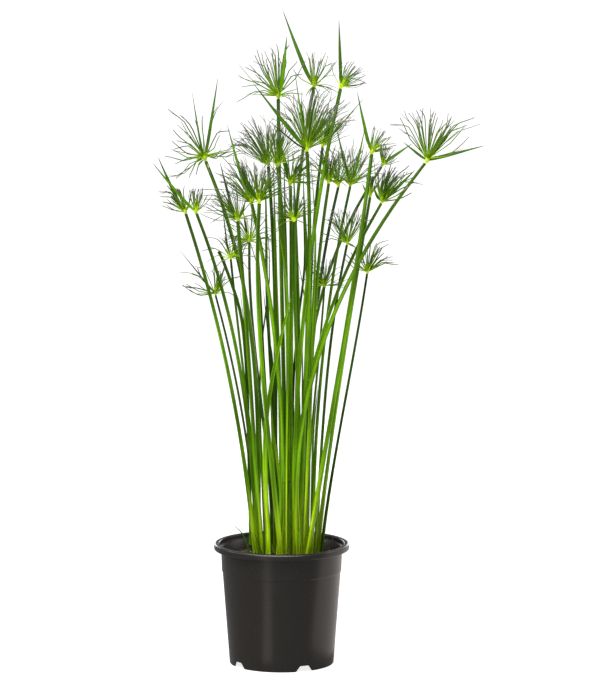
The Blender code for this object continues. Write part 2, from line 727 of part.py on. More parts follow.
def hub_mesh(hub, radius, axis, rays, spin):
    """A faceted knob, finer where more rays leave it."""
    bm = bmesh.new()
    turn = axis.to_track_quat("Z", "Y").to_matrix().to_4x4()
    matrix = Matrix.Translation(hub) @ turn @ Matrix.Rotation(spin, 4, "Z")
    subdivisions = 1 if rays <= COARSE_HUB_RAYS else 2
    bmesh.ops.create_icosphere(bm, subdivisions=subdivisions, radius=radius, matrix=matrix)
    return bm


def build_plant():
    green = make_material(*CULM_GREEN)
    lime = make_material(*UMBEL_GREEN)
    thicket = Thicket()
    hubs = []
    axes = []
    for number, (culm, umbel) in enumerate(PLANT):
        path, hub, radii = route_culm(culm, thicket, number)
        bm = build_culm_mesh(path, radii, spin=number * CULM_TURN)
        for shoot in SHOOTS:
            if shoot.beside == culm.name:
                add_shoot(bm, shoot, thicket, number)
        make_object(f"stem_{number + 1:02d}", bm, green)
        upward = (path[-1] - path[-2]).normalized()
        hubs.append(hub)
        axes.append((Vector(umbel.face).normalized() + upward * CULM_PULL).normalized())
    for number, (culm, _) in enumerate(PLANT):
        top = hubs[number]
        thicket.add([top - Vector((0, 0, TOUCH_GAP)), top], [hub_radius(culm)], number)
    meshes = []
    for number, (culm, umbel) in enumerate(PLANT):
        bm = hub_mesh(hubs[number], hub_radius(culm), axes[number], umbel.rays, number * HUB_TURN)
        place_blades(bm, hubs[number], umbel.blades, thicket, number)
        meshes.append(bm)
    for number, (_, umbel) in enumerate(PLANT):
        generator = random.Random(RAY_SEED + number)
        bm = meshes[number]
        place_rays(bm, hubs[number], umbel, axes[number], thicket, number, generator)
        bmesh.ops.triangulate(bm, faces=bm.faces[:])
        make_object(f"umbel_{number + 1:02d}", bm, lime)


clear_scene()
build_pot()
build_soil()
build_plant()
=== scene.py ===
# %% [markdown]
# This lesson dresses a potted dwarf papyrus: a clump of bare green culms in a nursery pot, each
# with a head of leafy blades and thread-like rays. The solids already hold every piece at its
# real size and place, so the first step loads them as a fixed frame. Each later step reads a
# piece's form from that frame and gives it the surface of the living plant.

# %% Load the frame
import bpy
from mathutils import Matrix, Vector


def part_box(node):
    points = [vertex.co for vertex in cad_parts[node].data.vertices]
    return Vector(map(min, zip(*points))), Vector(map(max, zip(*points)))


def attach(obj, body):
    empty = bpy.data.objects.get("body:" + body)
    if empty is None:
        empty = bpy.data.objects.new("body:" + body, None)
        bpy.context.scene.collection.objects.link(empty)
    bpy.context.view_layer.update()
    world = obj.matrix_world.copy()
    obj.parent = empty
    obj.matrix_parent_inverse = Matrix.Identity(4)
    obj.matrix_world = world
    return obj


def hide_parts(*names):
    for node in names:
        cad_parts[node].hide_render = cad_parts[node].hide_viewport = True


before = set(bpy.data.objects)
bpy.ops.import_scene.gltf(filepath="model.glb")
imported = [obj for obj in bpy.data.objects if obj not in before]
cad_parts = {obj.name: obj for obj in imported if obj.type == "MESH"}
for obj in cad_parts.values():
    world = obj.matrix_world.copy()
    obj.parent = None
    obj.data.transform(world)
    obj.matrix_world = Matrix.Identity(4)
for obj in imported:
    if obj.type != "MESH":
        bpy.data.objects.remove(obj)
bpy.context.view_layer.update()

# %% Modules and units
import math
import random

import bmesh
import bpy
import numpy as np
from mathutils import Matrix, Vector, noise

MM = 0.001
MERGE_DISTANCE = 0.02 * MM
UP = Vector((0, 0, 1))

# %% [markdown]
# The photograph was taken from far away with a long lens, a little above the pot. Such a camera
# keeps the culms at nearly one scale from the front of the clump to its back, so the lens is
# worked out from how many pixels one radian covers.

# %% Camera
PHOTO_HEIGHT = 683
PIXELS_PER_RADIAN = 4848.5
SENSOR = 36
CAMERA_PLACE = (0.02315, -6.0, 1.2865)
CAMERA_PITCH = 8.3238

camera_data = bpy.data.cameras.new("camera")
camera_data.sensor_width = SENSOR
camera_data.lens = PIXELS_PER_RADIAN * SENSOR / PHOTO_HEIGHT
camera = bpy.data.objects.new("camera", camera_data)
camera.location = CAMERA_PLACE
camera.rotation_euler = (math.radians(90 - CAMERA_PITCH), 0, 0)
bpy.context.scene.collection.objects.link(camera)
bpy.context.scene.camera = camera
bpy.context.scene.view_settings.view_transform = "Standard"
print("lens", round(camera_data.lens, 1), "mm")

# %% [markdown]
# A shader is built from many small nodes. A few helpers keep that readable: one adds a node and
# fills or links its inputs by name, and others blend two colours, do arithmetic or make a cloud
# of noise. The last starts a node group, which is an effect with named inputs and outputs that
# several materials can share.

# %% Helpers for shader nodes
def put(tree, kind, inputs=None, **settings):
    """Add a node, set its properties, and give each named input a value or a link."""
    node = tree.nodes.new(kind)
    for name, value in settings.items():
        setattr(node, name, value)
    for name, value in (inputs or {}).items():
        if isinstance(value, bpy.types.NodeSocket):
            tree.links.new(value, node.inputs[name])
        else:
            node.inputs[name].default_value = value
    return node


def blend_colours(tree, share, first, second, blend_type="MIX"):
    """Colour between two others, or one laid on the other in another way."""
    node = tree.nodes.new("ShaderNodeMix")
    node.data_type = "RGBA"
    node.blend_type = blend_type
    for socket, value in ((node.inputs[0], share), (node.inputs[6], first), (node.inputs[7], second)):
        if isinstance(value, bpy.types.NodeSocket):
            tree.links.new(value, socket)
        else:
            socket.default_value = value
    return node.outputs[2]


def calculate(tree, operation, first, second=0.0):
    """One sum, product or other step of arithmetic."""
    return put(tree, "ShaderNodeMath", {0: first, 1: second}, operation=operation).outputs[0]


def remap(tree, value, low, high, new_low, new_high):
    """Ease a value from one range into another, without going past its ends."""
    sockets = {"Value": value, "From Min": low, "From Max": high, "To Min": new_low, "To Max": new_high}
    return put(tree, "ShaderNodeMapRange", sockets, interpolation_type="SMOOTHSTEP").outputs["Result"]


def dim(tree, colour, level):
    """A colour multiplied by a level, which is the same for red, green and blue."""
    grey = put(tree, "ShaderNodeCombineColor", {0: level, 1: level, 2: level}).outputs[0]
    return blend_colours(tree, 1.0, colour, grey, "MULTIPLY")


def object_place(tree):
    """Place on the piece in its own coordinates, which are metres."""
    return put(tree, "ShaderNodeTexCoord").outputs["Object"]


def cloudiness(tree, place, scale, detail):
    """Smooth noise between 0 and 1 at a place."""
    cloud = put(tree, "ShaderNodeTexNoise", {"Vector": place, "Scale": scale, "Detail": detail})
    return cloud.outputs["Fac"]


def start_group(name, inputs, outputs):
    """A node group with named sockets. Each input is (name, kind, starting value)."""
    tree = bpy.data.node_groups.new(name, "ShaderNodeTree")
    for label, kind, value in inputs:
        tree.interface.new_socket(label, in_out="INPUT", socket_type=kind).default_value = value
    for label, kind in outputs:
        tree.interface.new_socket(label, in_out="OUTPUT", socket_type=kind)
    return tree, tree.nodes.new("NodeGroupInput").outputs, tree.nodes.new("NodeGroupOutput").inputs


FLOAT = "NodeSocketFloat"
COLOUR = "NodeSocketColor"
WHITE = (1, 1, 1, 1)
print("helpers ready")

# %% [markdown]
# Everything that grows here changes colour along its length: a culm is lime at the soil and deep green
# above, and a ray starts lime and fades to a greyish tip. So every strand carries two numbers on its
# points, how far along it they are and a tone of its own, and one group turns them into colour. A strand
# with a low tone is old and gets painted shade, so it is not only darker but bluer too, and a strand with a
# high tone gets painted light. The group is used by the culms, blades, rays, heads, husks and dry leaves.

# %% Group that tints a strand along its length and paints shade and light by its tone
MOTTLE_STRETCH = 0.22

growth_and_shade_tint, given, result = start_group(
    "growth_and_shade_tint",
    [("Foot", COLOUR, WHITE), ("Middle", COLOUR, WHITE), ("Tip", COLOUR, WHITE),
     ("Old", COLOUR, WHITE), ("Young And Lit", COLOUR, WHITE),
     ("Foot End", FLOAT, 0.3), ("Tip Start", FLOAT, 0.8),
     ("Mottle", FLOAT, 0.2), ("Mottle Scale", FLOAT, 90.0)],
    [("Color", COLOUR)],
)
along = put(growth_and_shade_tint, "ShaderNodeAttribute", attribute_name="along").outputs["Fac"]
tone = put(growth_and_shade_tint, "ShaderNodeAttribute", attribute_name="tone").outputs["Fac"]
drawn_out = put(growth_and_shade_tint, "ShaderNodeMapping", {
    "Vector": object_place(growth_and_shade_tint), "Scale": (1, 1, MOTTLE_STRETCH)})
mottle = cloudiness(growth_and_shade_tint, drawn_out.outputs[0], given["Mottle Scale"], 3.0)
foot_share = remap(growth_and_shade_tint, along, 0.0, given["Foot End"], 1.0, 0.0)
tip_share = remap(growth_and_shade_tint, along, given["Tip Start"], 1.0, 0.0, 1.0)
colour = blend_colours(growth_and_shade_tint, foot_share, given["Middle"], given["Foot"])
colour = blend_colours(growth_and_shade_tint, tip_share, colour, given["Tip"])
# Painted shade and light: a low tone mixes in the darker, bluer factor and a high tone the brighter, warmer
# one.
shade_by_age = blend_colours(growth_and_shade_tint, tone, given["Old"], given["Young And Lit"])
colour = blend_colours(growth_and_shade_tint, 1.0, colour, shade_by_age, "MULTIPLY")
lowest_mottle = calculate(growth_and_shade_tint, "SUBTRACT", 1.0, given["Mottle"])
highest_mottle = calculate(growth_and_shade_tint, "ADD", 1.0, given["Mottle"])
level = remap(growth_and_shade_tint, mottle, 0.3, 0.7, lowest_mottle, highest_mottle)
growth_and_shade_tint.links.new(dim(growth_and_shade_tint, colour, level), result["Color"])
print("group growth_and_shade_tint has", len(growth_and_shade_tint.nodes), "nodes")

# %% [markdown]
# Culms and leaves of a sedge have veins that run their whole length. The strands carry a UV map
# whose U goes once round and whose V is the length in metres. Bending U into a circle before it
# feeds the noise keeps the pattern whole where the two ends of the map meet.

# %% Group that draws lengthwise veins
long_grain, given, result = start_group(
    "long_grain",
    [("Veins", FLOAT, 6.0), ("Length Scale", FLOAT, 12.0)],
    [("Height", FLOAT)],
)
strand_map = put(long_grain, "ShaderNodeUVMap", uv_map="strand").outputs[0]
parts = put(long_grain, "ShaderNodeSeparateXYZ", {0: strand_map}).outputs
turn = calculate(long_grain, "MULTIPLY", parts["X"], math.tau)
round_x = calculate(long_grain, "MULTIPLY", calculate(long_grain, "COSINE", turn), given["Veins"])
round_y = calculate(long_grain, "MULTIPLY", calculate(long_grain, "SINE", turn), given["Veins"])
length = calculate(long_grain, "MULTIPLY", parts["Y"], given["Length Scale"])
wrapped = put(long_grain, "ShaderNodeCombineXYZ", {0: round_x, 1: round_y, 2: length}).outputs[0]
long_grain.links.new(cloudiness(long_grain, wrapped, 1.0, 4.0), result["Height"])
print("group long_grain has", len(long_grain.nodes), "nodes")

# %% [markdown]
# Small flecks turn up everywhere on a plant in its pot: dust on the plastic, pale grit in the
# soil, brown spots on the culms. One group makes them all, as a mask of soft-edged specks whose
# size and rarity each material chooses.

# %% Group that scatters flecks
flecks, given, result = start_group(
    "flecks",
    [("Scale", FLOAT, 200.0), ("Rarity", FLOAT, 0.65), ("Softness", FLOAT, 0.1)],
    [("Mask", FLOAT)],
)
cloud = cloudiness(flecks, object_place(flecks), given["Scale"], 2.0)
edge = calculate(flecks, "ADD", given["Rarity"], given["Softness"])
flecks.links.new(remap(flecks, cloud, given["Rarity"], edge, 0.0, 1.0), result["Mask"])
print("group flecks has", len(flecks.nodes), "nodes")

# %% Helper that starts a material
def start_material(name, roughness, specular=0.5):
    """A material with its shader, whose plain values sit on the shader itself."""
    material = bpy.data.materials.new(name)
    material.use_nodes = True
    tree = material.node_tree
    shader = tree.nodes["Principled BSDF"]
    shader.inputs["Roughness"].default_value = roughness
    shader.inputs["Specular IOR Level"].default_value = specular
    return material, tree, shader


def use_group(tree, group, inputs):
    """Place a shared effect in a material with values of its own."""
    node = put(tree, "ShaderNodeGroup", node_tree=group)
    for name, value in inputs.items():
        node.inputs[name].default_value = value
    return node


def add_bump(tree, shader, height, distance, strength):
    """Relief that is too fine to model."""
    bump = put(tree, "ShaderNodeBump", {"Height": height, "Distance": distance, "Strength": strength})
    tree.links.new(bump.outputs["Normal"], shader.inputs["Normal"])


print("material helpers ready")

# %% [markdown]
# The pot is thin polypropylene coloured brown-black. Its mould leaves a satin skin that is
# almost smooth, so it shines in broad soft bands. Handling leaves it glossier in some places
# than in others, with a little dried potting dust where it is dull.

# %% Pot plastic
PLASTIC_COLOUR = (0.0138, 0.0110, 0.0086, 1)
DUST_COLOUR = (0.060, 0.048, 0.036, 1)
DUST_AMOUNT = 0.30
GLOSSIEST, DULLEST = 0.24, 0.36

plastic, tree, shader = start_material("pot_plastic", 0.28, specular=0.45)
dust = use_group(tree, flecks, {"Scale": 260.0, "Rarity": 0.60, "Softness": 0.16})
place = object_place(tree)
haze = cloudiness(tree, place, 14.0, 2.0)
dust_share = calculate(tree, "MULTIPLY", dust.outputs["Mask"], haze)
dust_share = calculate(tree, "MULTIPLY", dust_share, DUST_AMOUNT)
tree.links.new(blend_colours(tree, dust_share, PLASTIC_COLOUR, DUST_COLOUR), shader.inputs["Base Color"])
tree.links.new(remap(tree, haze, 0.1, 0.9, GLOSSIEST, DULLEST), shader.inputs["Roughness"])
add_bump(tree, shader, cloudiness(tree, place, 900.0, 2.0), 0.05 * MM, 0.12)
print("material", plastic.name)

# %% [markdown]
# A growing strand's material is the same recipe each time: the growth tint for colour, the lengthwise veins
# for relief, and brown flecks, and on culms and blades painted light and shade on their sides. Only the
# values differ, so one function builds the culm, the blade, the ray, the head, the dry leaf and the husk.

# %% Living and dry strands
FLECK_BROWN = (0.060, 0.036, 0.012, 1)
# SHADED and SUNLIT are painted shade and painted light: they make a strand of low tone darker and bluer,
# and one of high tone brighter and warmer.
SHADED = (0.18, 0.24, 0.40)
SUNLIT = (1.30, 1.22, 0.95)
VEIN_LEVELS = (0.74, 1.24)


def strand_material(name, colours, ends, shade_and_age_factors, roughness, specular, fleck_amount, vein_depth, painted_light_and_shade=0.0):
    """Colours are for foot, middle and tip. Ends are where the foot's fades and the tip's starts.

    Age and light factors are for an old, shaded strand and for a young, lit one: painted shade and painted
    light.
    """
    material, tree, shader = start_material(name, roughness, specular)
    tint = use_group(tree, growth_and_shade_tint, {
        "Foot": (*colours[0], 1), "Middle": (*colours[1], 1), "Tip": (*colours[2], 1),
        "Old": (*shade_and_age_factors[0], 1), "Young And Lit": (*shade_and_age_factors[1], 1),
        "Foot End": ends[0], "Tip Start": ends[1], "Mottle": 0.16})
    grain = use_group(tree, long_grain, {"Veins": 5.0, "Length Scale": 9.0})
    spots = use_group(tree, flecks, {"Scale": 330.0, "Rarity": 0.66, "Softness": 0.07})
    amount = calculate(tree, "MULTIPLY", spots.outputs["Mask"], fleck_amount)
    colour = dim(tree, tint.outputs["Color"], remap(tree, grain.outputs["Height"], 0.3, 0.7, *VEIN_LEVELS))
    # Painted light and shade: a broad noise round the strand makes one side lighter and another darker,
    # like a lit face and a shaded one.
    if painted_light_and_shade:
        broad = use_group(tree, long_grain, {"Veins": 0.6, "Length Scale": 7.0})
        level = remap(tree, broad.outputs["Height"], 0.36, 0.64, 1 - painted_light_and_shade, 1 + painted_light_and_shade)
        colour = dim(tree, colour, level)
    tree.links.new(blend_colours(tree, amount, colour, FLECK_BROWN), shader.inputs["Base Color"])
    add_bump(tree, shader, grain.outputs["Height"], vein_depth, 0.5)
    return material


culm_skin = strand_material(
    "culm_green", ((0.360, 0.580, 0.008), (0.138, 0.345, 0.001), (0.062, 0.160, 0.002)),
    ends=(0.28, 0.50), shade_and_age_factors=(SHADED, SUNLIT), roughness=0.34, specular=0.10,
    fleck_amount=0.5, vein_depth=0.15 * MM, painted_light_and_shade=0.5)
blade_skin = strand_material(
    "blade_green", ((0.300, 0.520, 0.001), (0.090, 0.260, 0.001), (0.015, 0.040, 0.004)),
    ends=(0.22, 0.72), shade_and_age_factors=(SHADED, SUNLIT), roughness=0.42, specular=0.08,
    fleck_amount=0.4, vein_depth=0.12 * MM, painted_light_and_shade=0.4)
ray_skin = strand_material(
    "ray_green", ((0.230, 0.440, 0.004), (0.105, 0.215, 0.012), (0.230, 0.200, 0.210)),
    ends=(0.55, 0.60), shade_and_age_factors=((0.35, 0.45, 0.42), (1.35, 1.25, 1.20)), roughness=0.50,
    specular=0.10, fleck_amount=0.0, vein_depth=0.05 * MM)
head_skin = strand_material(
    "head_lime", ((0.560, 0.800, 0.008), (0.500, 0.740, 0.008), (0.200, 0.380, 0.010)),
    ends=(0.30, 0.50), shade_and_age_factors=((0.70, 0.78, 0.80), (1.20, 1.12, 1.0)), roughness=0.42,
    specular=0.15, fleck_amount=0.2, vein_depth=0.05 * MM)
dry_skin = strand_material(
    "dry_leaf", ((0.110, 0.052, 0.014), (0.220, 0.130, 0.045), (0.300, 0.220, 0.110)),
    ends=(0.40, 0.60), shade_and_age_factors=((0.40, 0.42, 0.40), (1.25, 1.20, 1.15)), roughness=0.70,
    specular=0.20, fleck_amount=0.8, vein_depth=0.15 * MM)
husk_skin = strand_material(
    "spikelet_brown", ((0.150, 0.150, 0.040), (0.110, 0.085, 0.045), (0.090, 0.070, 0.050)),
    ends=(0.40, 0.60), shade_and_age_factors=((0.60, 0.60, 0.60), (1.30, 1.25, 1.20)), roughness=0.60,
    specular=0.15, fleck_amount=0.0, vein_depth=0.05 * MM)
print("strand materials", culm_skin.name, blade_skin.name, ray_skin.name, head_skin.name)

# %% [markdown]
# Potting soil is peat: nearly black when damp, crumbly, with brown threads and a few pale
# crumbs. Two noises at different scales make its colour, and the crumbs' relief comes from the
# mesh, with a fine bump for the grains that are too small to model.

# %% Soil
WET_PEAT = (0.012, 0.008, 0.005, 1)
DRY_PEAT = (0.038, 0.024, 0.014, 1)
CRUMB_BROWN = (0.075, 0.045, 0.024, 1)
PALE_SPECK = (0.30, 0.24, 0.17, 1)
GRIT_LIGHT = (0.55, 0.50, 0.42, 1)
GRIT_DARK = (0.30, 0.24, 0.16, 1)

soil_matter, tree, shader = start_material("potting_soil", 0.92, specular=0.25)
place = object_place(tree)
crumbs = cloudiness(tree, place, 420.0, 5.0)
patches = cloudiness(tree, place, 60.0, 3.0)
colour = blend_colours(tree, remap(tree, patches, 0.35, 0.65, 0.0, 1.0), WET_PEAT, DRY_PEAT)
colour = blend_colours(tree, remap(tree, crumbs, 0.4, 0.7, 0.0, 0.6), colour, CRUMB_BROWN)
pale = use_group(tree, flecks, {"Scale": 520.0, "Rarity": 0.68, "Softness": 0.03})
colour = blend_colours(tree, pale.outputs["Mask"], colour, PALE_SPECK)
tree.links.new(colour, shader.inputs["Base Color"])
add_bump(tree, shader, crumbs, 0.6 * MM, 0.8)

grit, tree, shader = start_material("pale_grit", 0.85)
speck = use_group(tree, flecks, {"Scale": 700.0, "Rarity": 0.50, "Softness": 0.20})
colour = blend_colours(tree, speck.outputs["Mask"], GRIT_LIGHT, GRIT_DARK)
tree.links.new(colour, shader.inputs["Base Color"])
print("materials", soil_matter.name, grit.name)

# %% [markdown]
# Each new piece ends the same way: its bmesh becomes a mesh, round parts are shaded smooth, the piece is
# hung under what it rides on and takes its finishes, and the solids it stands for are hidden.

# %% Helper that finishes a piece
SHARP_ANGLE = math.radians(38)
triangle_counts = {}


def finish_piece(name, bm, materials, nodes=()):
    """Make the bmesh an object with its place in its mesh, hang it under the root and hide the solids it
    replaces.
    """
    mesh = bpy.data.meshes.new(name)
    bm.to_mesh(mesh)
    bm.free()
    for material in materials:
        mesh.materials.append(material)
    mesh.shade_smooth()
    mesh.set_sharp_from_angle(angle=SHARP_ANGLE)
    piece = bpy.data.objects.new(name, mesh)
    bpy.context.scene.collection.objects.link(piece)
    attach(piece, "root")
    if nodes:
        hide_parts(*nodes)
    mesh.calc_loop_triangles()
    triangle_counts[name] = len(mesh.loop_triangles)


def merged_copy(node):
    """A CAD node's mesh is loose triangles, so a copy of it is merged before it is read."""
    bm = bmesh.new()
    bm.from_mesh(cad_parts[node].data)
    bmesh.ops.remove_doubles(bm, verts=bm.verts[:], dist=MERGE_DISTANCE)
    return bm


print("frame has", len(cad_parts), "nodes")

# %% [markdown]
# The pot is injection moulded: one thin wall with a rounded lip, an inner ledge under it, and a
# small step round the collar. A turned body fits that best, so its profile is drawn once, with
# arcs for the round edges, and spun about the axis.

# %% Pot profile
pot_low, pot_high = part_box("pot")
RIM_RADIUS = pot_high.x
POT_HEIGHT = pot_high.z
LIP_WIDTH = 6.6 * MM
LIP_HEIGHT = 8 * MM
LIP_ROUND = 2.4 * MM
LIP_EDGE = 1.4 * MM
COLLAR_TOP_RADIUS = 76.1 * MM
COLLAR_FOOT_RADIUS = 75.2 * MM
COLLAR_FOOT_HEIGHT = 118 * MM
COLLAR_STEP = 0.8 * MM
BASE_RADIUS = 65.5 * MM
WALL = 1.6 * MM
FLOOR_LOW = 8 * MM
FLOOR_HIGH = 10.2 * MM
PAD_RADIUS = 15 * MM
PAD_SLOPE = 1.5 * MM
FOOT_BEVEL = 0.3 * MM
FOOT_ROUND = 0.5 * MM
LEDGE_ROUND = 1.2 * MM
LEDGE_CENTRE = (0.6, 2.6)
LEDGE_STEPS = ((0.3, 1.4), (-0.2, 0.8))
COLLAR_FOOT_STEPS = ((-0.2, -0.2), (0, 0.3), (0.05, 1.5))
COLLAR_TOP_STEPS = ((-0.05, -2.5), (0, -1), (0.5, -0.2))
WALL_HEIGHTS = (9 * MM, 40 * MM, 80 * MM, COLLAR_FOOT_HEIGHT - COLLAR_STEP)


def arc(centre, radius, start, end, steps=5):
    """Points on an arc, with its angles in degrees from +X towards +Z."""
    points = []
    for step in range(steps + 1):
        angle = math.radians(start + (end - start) * step / steps)
        points.append((centre[0] + radius * math.cos(angle), centre[1] + radius * math.sin(angle)))
    return points


def beside(radius, height, step):
    """A point that is a step outwards and up, in millimetres, from a corner of the profile."""
    return radius + step[0] * MM, height + step[1] * MM


def wall_radius(height):
    """Outside of the tapered wall below the collar."""
    top = COLLAR_FOOT_RADIUS - COLLAR_STEP
    return BASE_RADIUS + (top - BASE_RADIUS) * height / COLLAR_FOOT_HEIGHT


lip_foot = POT_HEIGHT - LIP_HEIGHT
lip_inner = RIM_RADIUS - LIP_WIDTH
foot_part = [
    (0, 0), (PAD_RADIUS, 0), (PAD_RADIUS + PAD_SLOPE, FLOOR_LOW),
    (wall_radius(FLOOR_LOW) - WALL, FLOOR_LOW), (BASE_RADIUS - WALL, FOOT_BEVEL),
    (BASE_RADIUS - WALL + FOOT_BEVEL, 0), (BASE_RADIUS - FOOT_ROUND, 0), (BASE_RADIUS, FOOT_ROUND)]
wall_part = [(wall_radius(height), height) for height in WALL_HEIGHTS]
collar_part = [beside(COLLAR_FOOT_RADIUS, COLLAR_FOOT_HEIGHT, step) for step in COLLAR_FOOT_STEPS]
collar_part += [beside(COLLAR_TOP_RADIUS, lip_foot, step) for step in COLLAR_TOP_STEPS]
lip_part = arc((RIM_RADIUS - LIP_EDGE, lip_foot + LIP_EDGE), LIP_EDGE, -90, 0, 4)
lip_part += arc((RIM_RADIUS - LIP_ROUND, POT_HEIGHT - LIP_ROUND), LIP_ROUND, 0, 90, 7)
lip_part += arc((lip_inner + LIP_EDGE, POT_HEIGHT - LIP_EDGE), LIP_EDGE, 90, 180, 5)
ledge_part = arc(beside(COLLAR_TOP_RADIUS, lip_foot, LEDGE_CENTRE), LEDGE_ROUND, 0, -90, 4)
ledge_part += [beside(COLLAR_FOOT_RADIUS, lip_foot, step) for step in LEDGE_STEPS]
inside_part = [(COLLAR_FOOT_RADIUS - WALL, COLLAR_FOOT_HEIGHT),
               (wall_radius(FLOOR_HIGH) - WALL, FLOOR_HIGH), (0, FLOOR_HIGH)]
pot_profile = foot_part + wall_part + collar_part + lip_part + ledge_part + inside_part
print("profile of", len(pot_profile), "points, rim", round(2 * RIM_RADIUS / MM), "mm across")

# %% [markdown]
# Spinning needs no end caps here, because the profile starts and ends on the axis: merging the
# doubles there closes both poles. A spun shape can come out inside out, so its normals are
# recalculated once it is closed.

# %% Turned bodies
POT_STEPS = 144


def turned_body(profile, steps):
    """Spin a profile about Z into one closed body that faces outwards."""
    bm = bmesh.new()
    points = [bm.verts.new((radius, 0, height)) for radius, height in profile]
    edges = [bm.edges.new(pair) for pair in zip(points, points[1:])]
    bmesh.ops.spin(bm, geom=points + edges, cent=(0, 0, 0), axis=UP, angle=math.tau,
                   steps=steps, use_merge=True)
    bmesh.ops.remove_doubles(bm, verts=bm.verts[:], dist=MERGE_DISTANCE)
    bmesh.ops.recalc_face_normals(bm, faces=bm.faces[:])
    return bm


pot_body = turned_body(pot_profile, POT_STEPS)
print("pot body has", len(pot_body.faces), "faces")

# %% [markdown]
# Water leaves the pot through holes in its floor and then through wide notches in the foot
# ring, two of which show in the photograph. They are real openings, so they are cut with a
# Boolean. The cutters are made with the same operators, and the cut is applied at once.

# %% Notches and drain holes
NOTCH_ANGLES = (26, 125, 206, 305)
NOTCH_FOOT_WIDTH = 24 * MM
NOTCH_TOP_WIDTH = 12 * MM
NOTCH_HEIGHT = 7.4 * MM
NOTCH_DEPTH = 10 * MM
NOTCH_ROUND = 1.5 * MM
DRAIN_COUNT = 8
DRAIN_RADIUS = 4 * MM
DRAIN_CIRCLE = 48 * MM
OVERRUN = 1 * MM


def turned_from_front(angle):
    """Turn that takes +X to this angle from the front, counted towards +X."""
    return Matrix.Rotation(math.radians(angle - 90), 4, "Z")


cutters = bmesh.new()
for angle in NOTCH_ANGLES:
    wedge = bmesh.ops.create_cube(cutters, size=1)["verts"]
    for vert in wedge:
        at_top = vert.co.z > 0
        vert.co.x = BASE_RADIUS + vert.co.x * NOTCH_DEPTH
        vert.co.y *= NOTCH_TOP_WIDTH if at_top else NOTCH_FOOT_WIDTH
        vert.co.z = NOTCH_HEIGHT if at_top else -OVERRUN
    edges = {edge for vert in wedge for edge in vert.link_edges}
    top_corners = [edge for edge in edges if all(vert.co.z > 0 for vert in edge.verts)
                   and abs(edge.verts[0].co.y - edge.verts[1].co.y) < OVERRUN]
    rounded = bmesh.ops.bevel(cutters, geom=top_corners, affect="EDGES", offset=NOTCH_ROUND,
                              segments=3, profile=0.5, material=-1)
    whole = {vert for vert in wedge if vert.is_valid} | set(rounded["verts"])
    bmesh.ops.transform(cutters, verts=list(whole), matrix=turned_from_front(angle))
for number in range(DRAIN_COUNT):
    middle = Matrix.Translation((DRAIN_CIRCLE, 0, (FLOOR_LOW + FLOOR_HIGH) / 2))
    bmesh.ops.create_cone(cutters, cap_ends=True, segments=24, radius1=DRAIN_RADIUS,
                          radius2=DRAIN_RADIUS, depth=FLOOR_HIGH - FLOOR_LOW + 4 * OVERRUN,
                          matrix=turned_from_front(360 * number / DRAIN_COUNT) @ middle)
print("cutters have", len(cutters.faces), "faces")

# %% Cut the pot
def cut_away(body, cutter):
    """Subtract one closed bmesh from another, and give back the result as a bmesh."""
    things = []
    for name, bm in (("uncut_pot", body), ("pot_cutter", cutter)):
        mesh = bpy.data.meshes.new(name)
        bm.to_mesh(mesh)
        bm.free()
        thing = bpy.data.objects.new(name, mesh)
        bpy.context.scene.collection.objects.link(thing)
        things.append(thing)
    solid, tool = things
    boolean = solid.modifiers.new("cut", "BOOLEAN")
    boolean.operation = "DIFFERENCE"
    boolean.object = tool
    depsgraph = bpy.context.evaluated_depsgraph_get()
    result = bmesh.new()
    result.from_mesh(solid.evaluated_get(depsgraph).data)
    for thing in things:
        bpy.data.objects.remove(thing, do_unlink=True)
    return result


pot_mesh = cut_away(pot_body, cutters)
finish_piece("nursery_pot", pot_mesh, [plastic], ["pot"])
print("pot has", triangle_counts["nursery_pot"], "triangles")

# %% [markdown]
# The soil's top is uneven: it is pushed up a little round the culms, sinks towards the wall and
# is covered in crumbs. A turned disc with many rings gives noise enough points to move, and the
# sides and underside stay plain because the pot hides them. Three sizes of noise are added up:
# each has its width in millimetres, a shift that keeps it apart, and its depth in millimetres.

# %% Soil body
soil_low, soil_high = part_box("soil")
SOIL_WALL_GAP = 0.5 * MM
SOIL_RING_STEP = 1.7 * MM
SOIL_STEPS = 150
soil_radius = COLLAR_FOOT_RADIUS - WALL - SOIL_WALL_GAP
SOIL_SINK = 1.0 * MM
soil_level = soil_high.z - SOIL_SINK
MOUND_HEIGHT = 1.2 * MM
MOUND_REACH = 45 * MM
SOIL_NOISES = ((34, (0, 0, 0), 1.0), (9, (7, 3, 1), 0.9), (3.2, (1, 9, 4), 0.6))


def soil_height(x, y):
    """Height of the soil's top, with broad swells, clods and small crumbs."""
    spot = Vector((x, y, 0))
    height = soil_level
    for width, shift, depth in SOIL_NOISES:
        height += noise.noise(spot / (width * MM) + Vector(shift)) * depth * MM
    return height + MOUND_HEIGHT * math.exp(-(spot.length / MOUND_REACH) ** 2)


ring_count = int(soil_radius / SOIL_RING_STEP)
soil_profile = [(0, soil_low.z), (wall_radius(soil_low.z) - WALL - SOIL_WALL_GAP, soil_low.z)]
soil_profile += [(wall_radius(COLLAR_FOOT_HEIGHT) - WALL - SOIL_WALL_GAP, COLLAR_FOOT_HEIGHT)]
soil_profile += [(soil_radius * (1 - ring / ring_count), soil_level) for ring in range(ring_count + 1)]
soil_bm = turned_body(soil_profile, SOIL_STEPS)
for vert in soil_bm.verts:
    if vert.co.z > soil_level - MERGE_DISTANCE:
        vert.co.z = soil_height(vert.co.x, vert.co.y)
finish_piece("soil_bed", soil_bm, [soil_matter], ["soil"])
print("soil has", triangle_counts["soil_bed"], "triangles")

# %% [markdown]
# Culms, blades, rays, sheaths and threads are all strands: one section carried along a path. So
# each kind starts from a template, a tube of unit length made from a cone with equal ends and
# cut into rings. The section is drawn as a rule that gives each point's place from its angle.

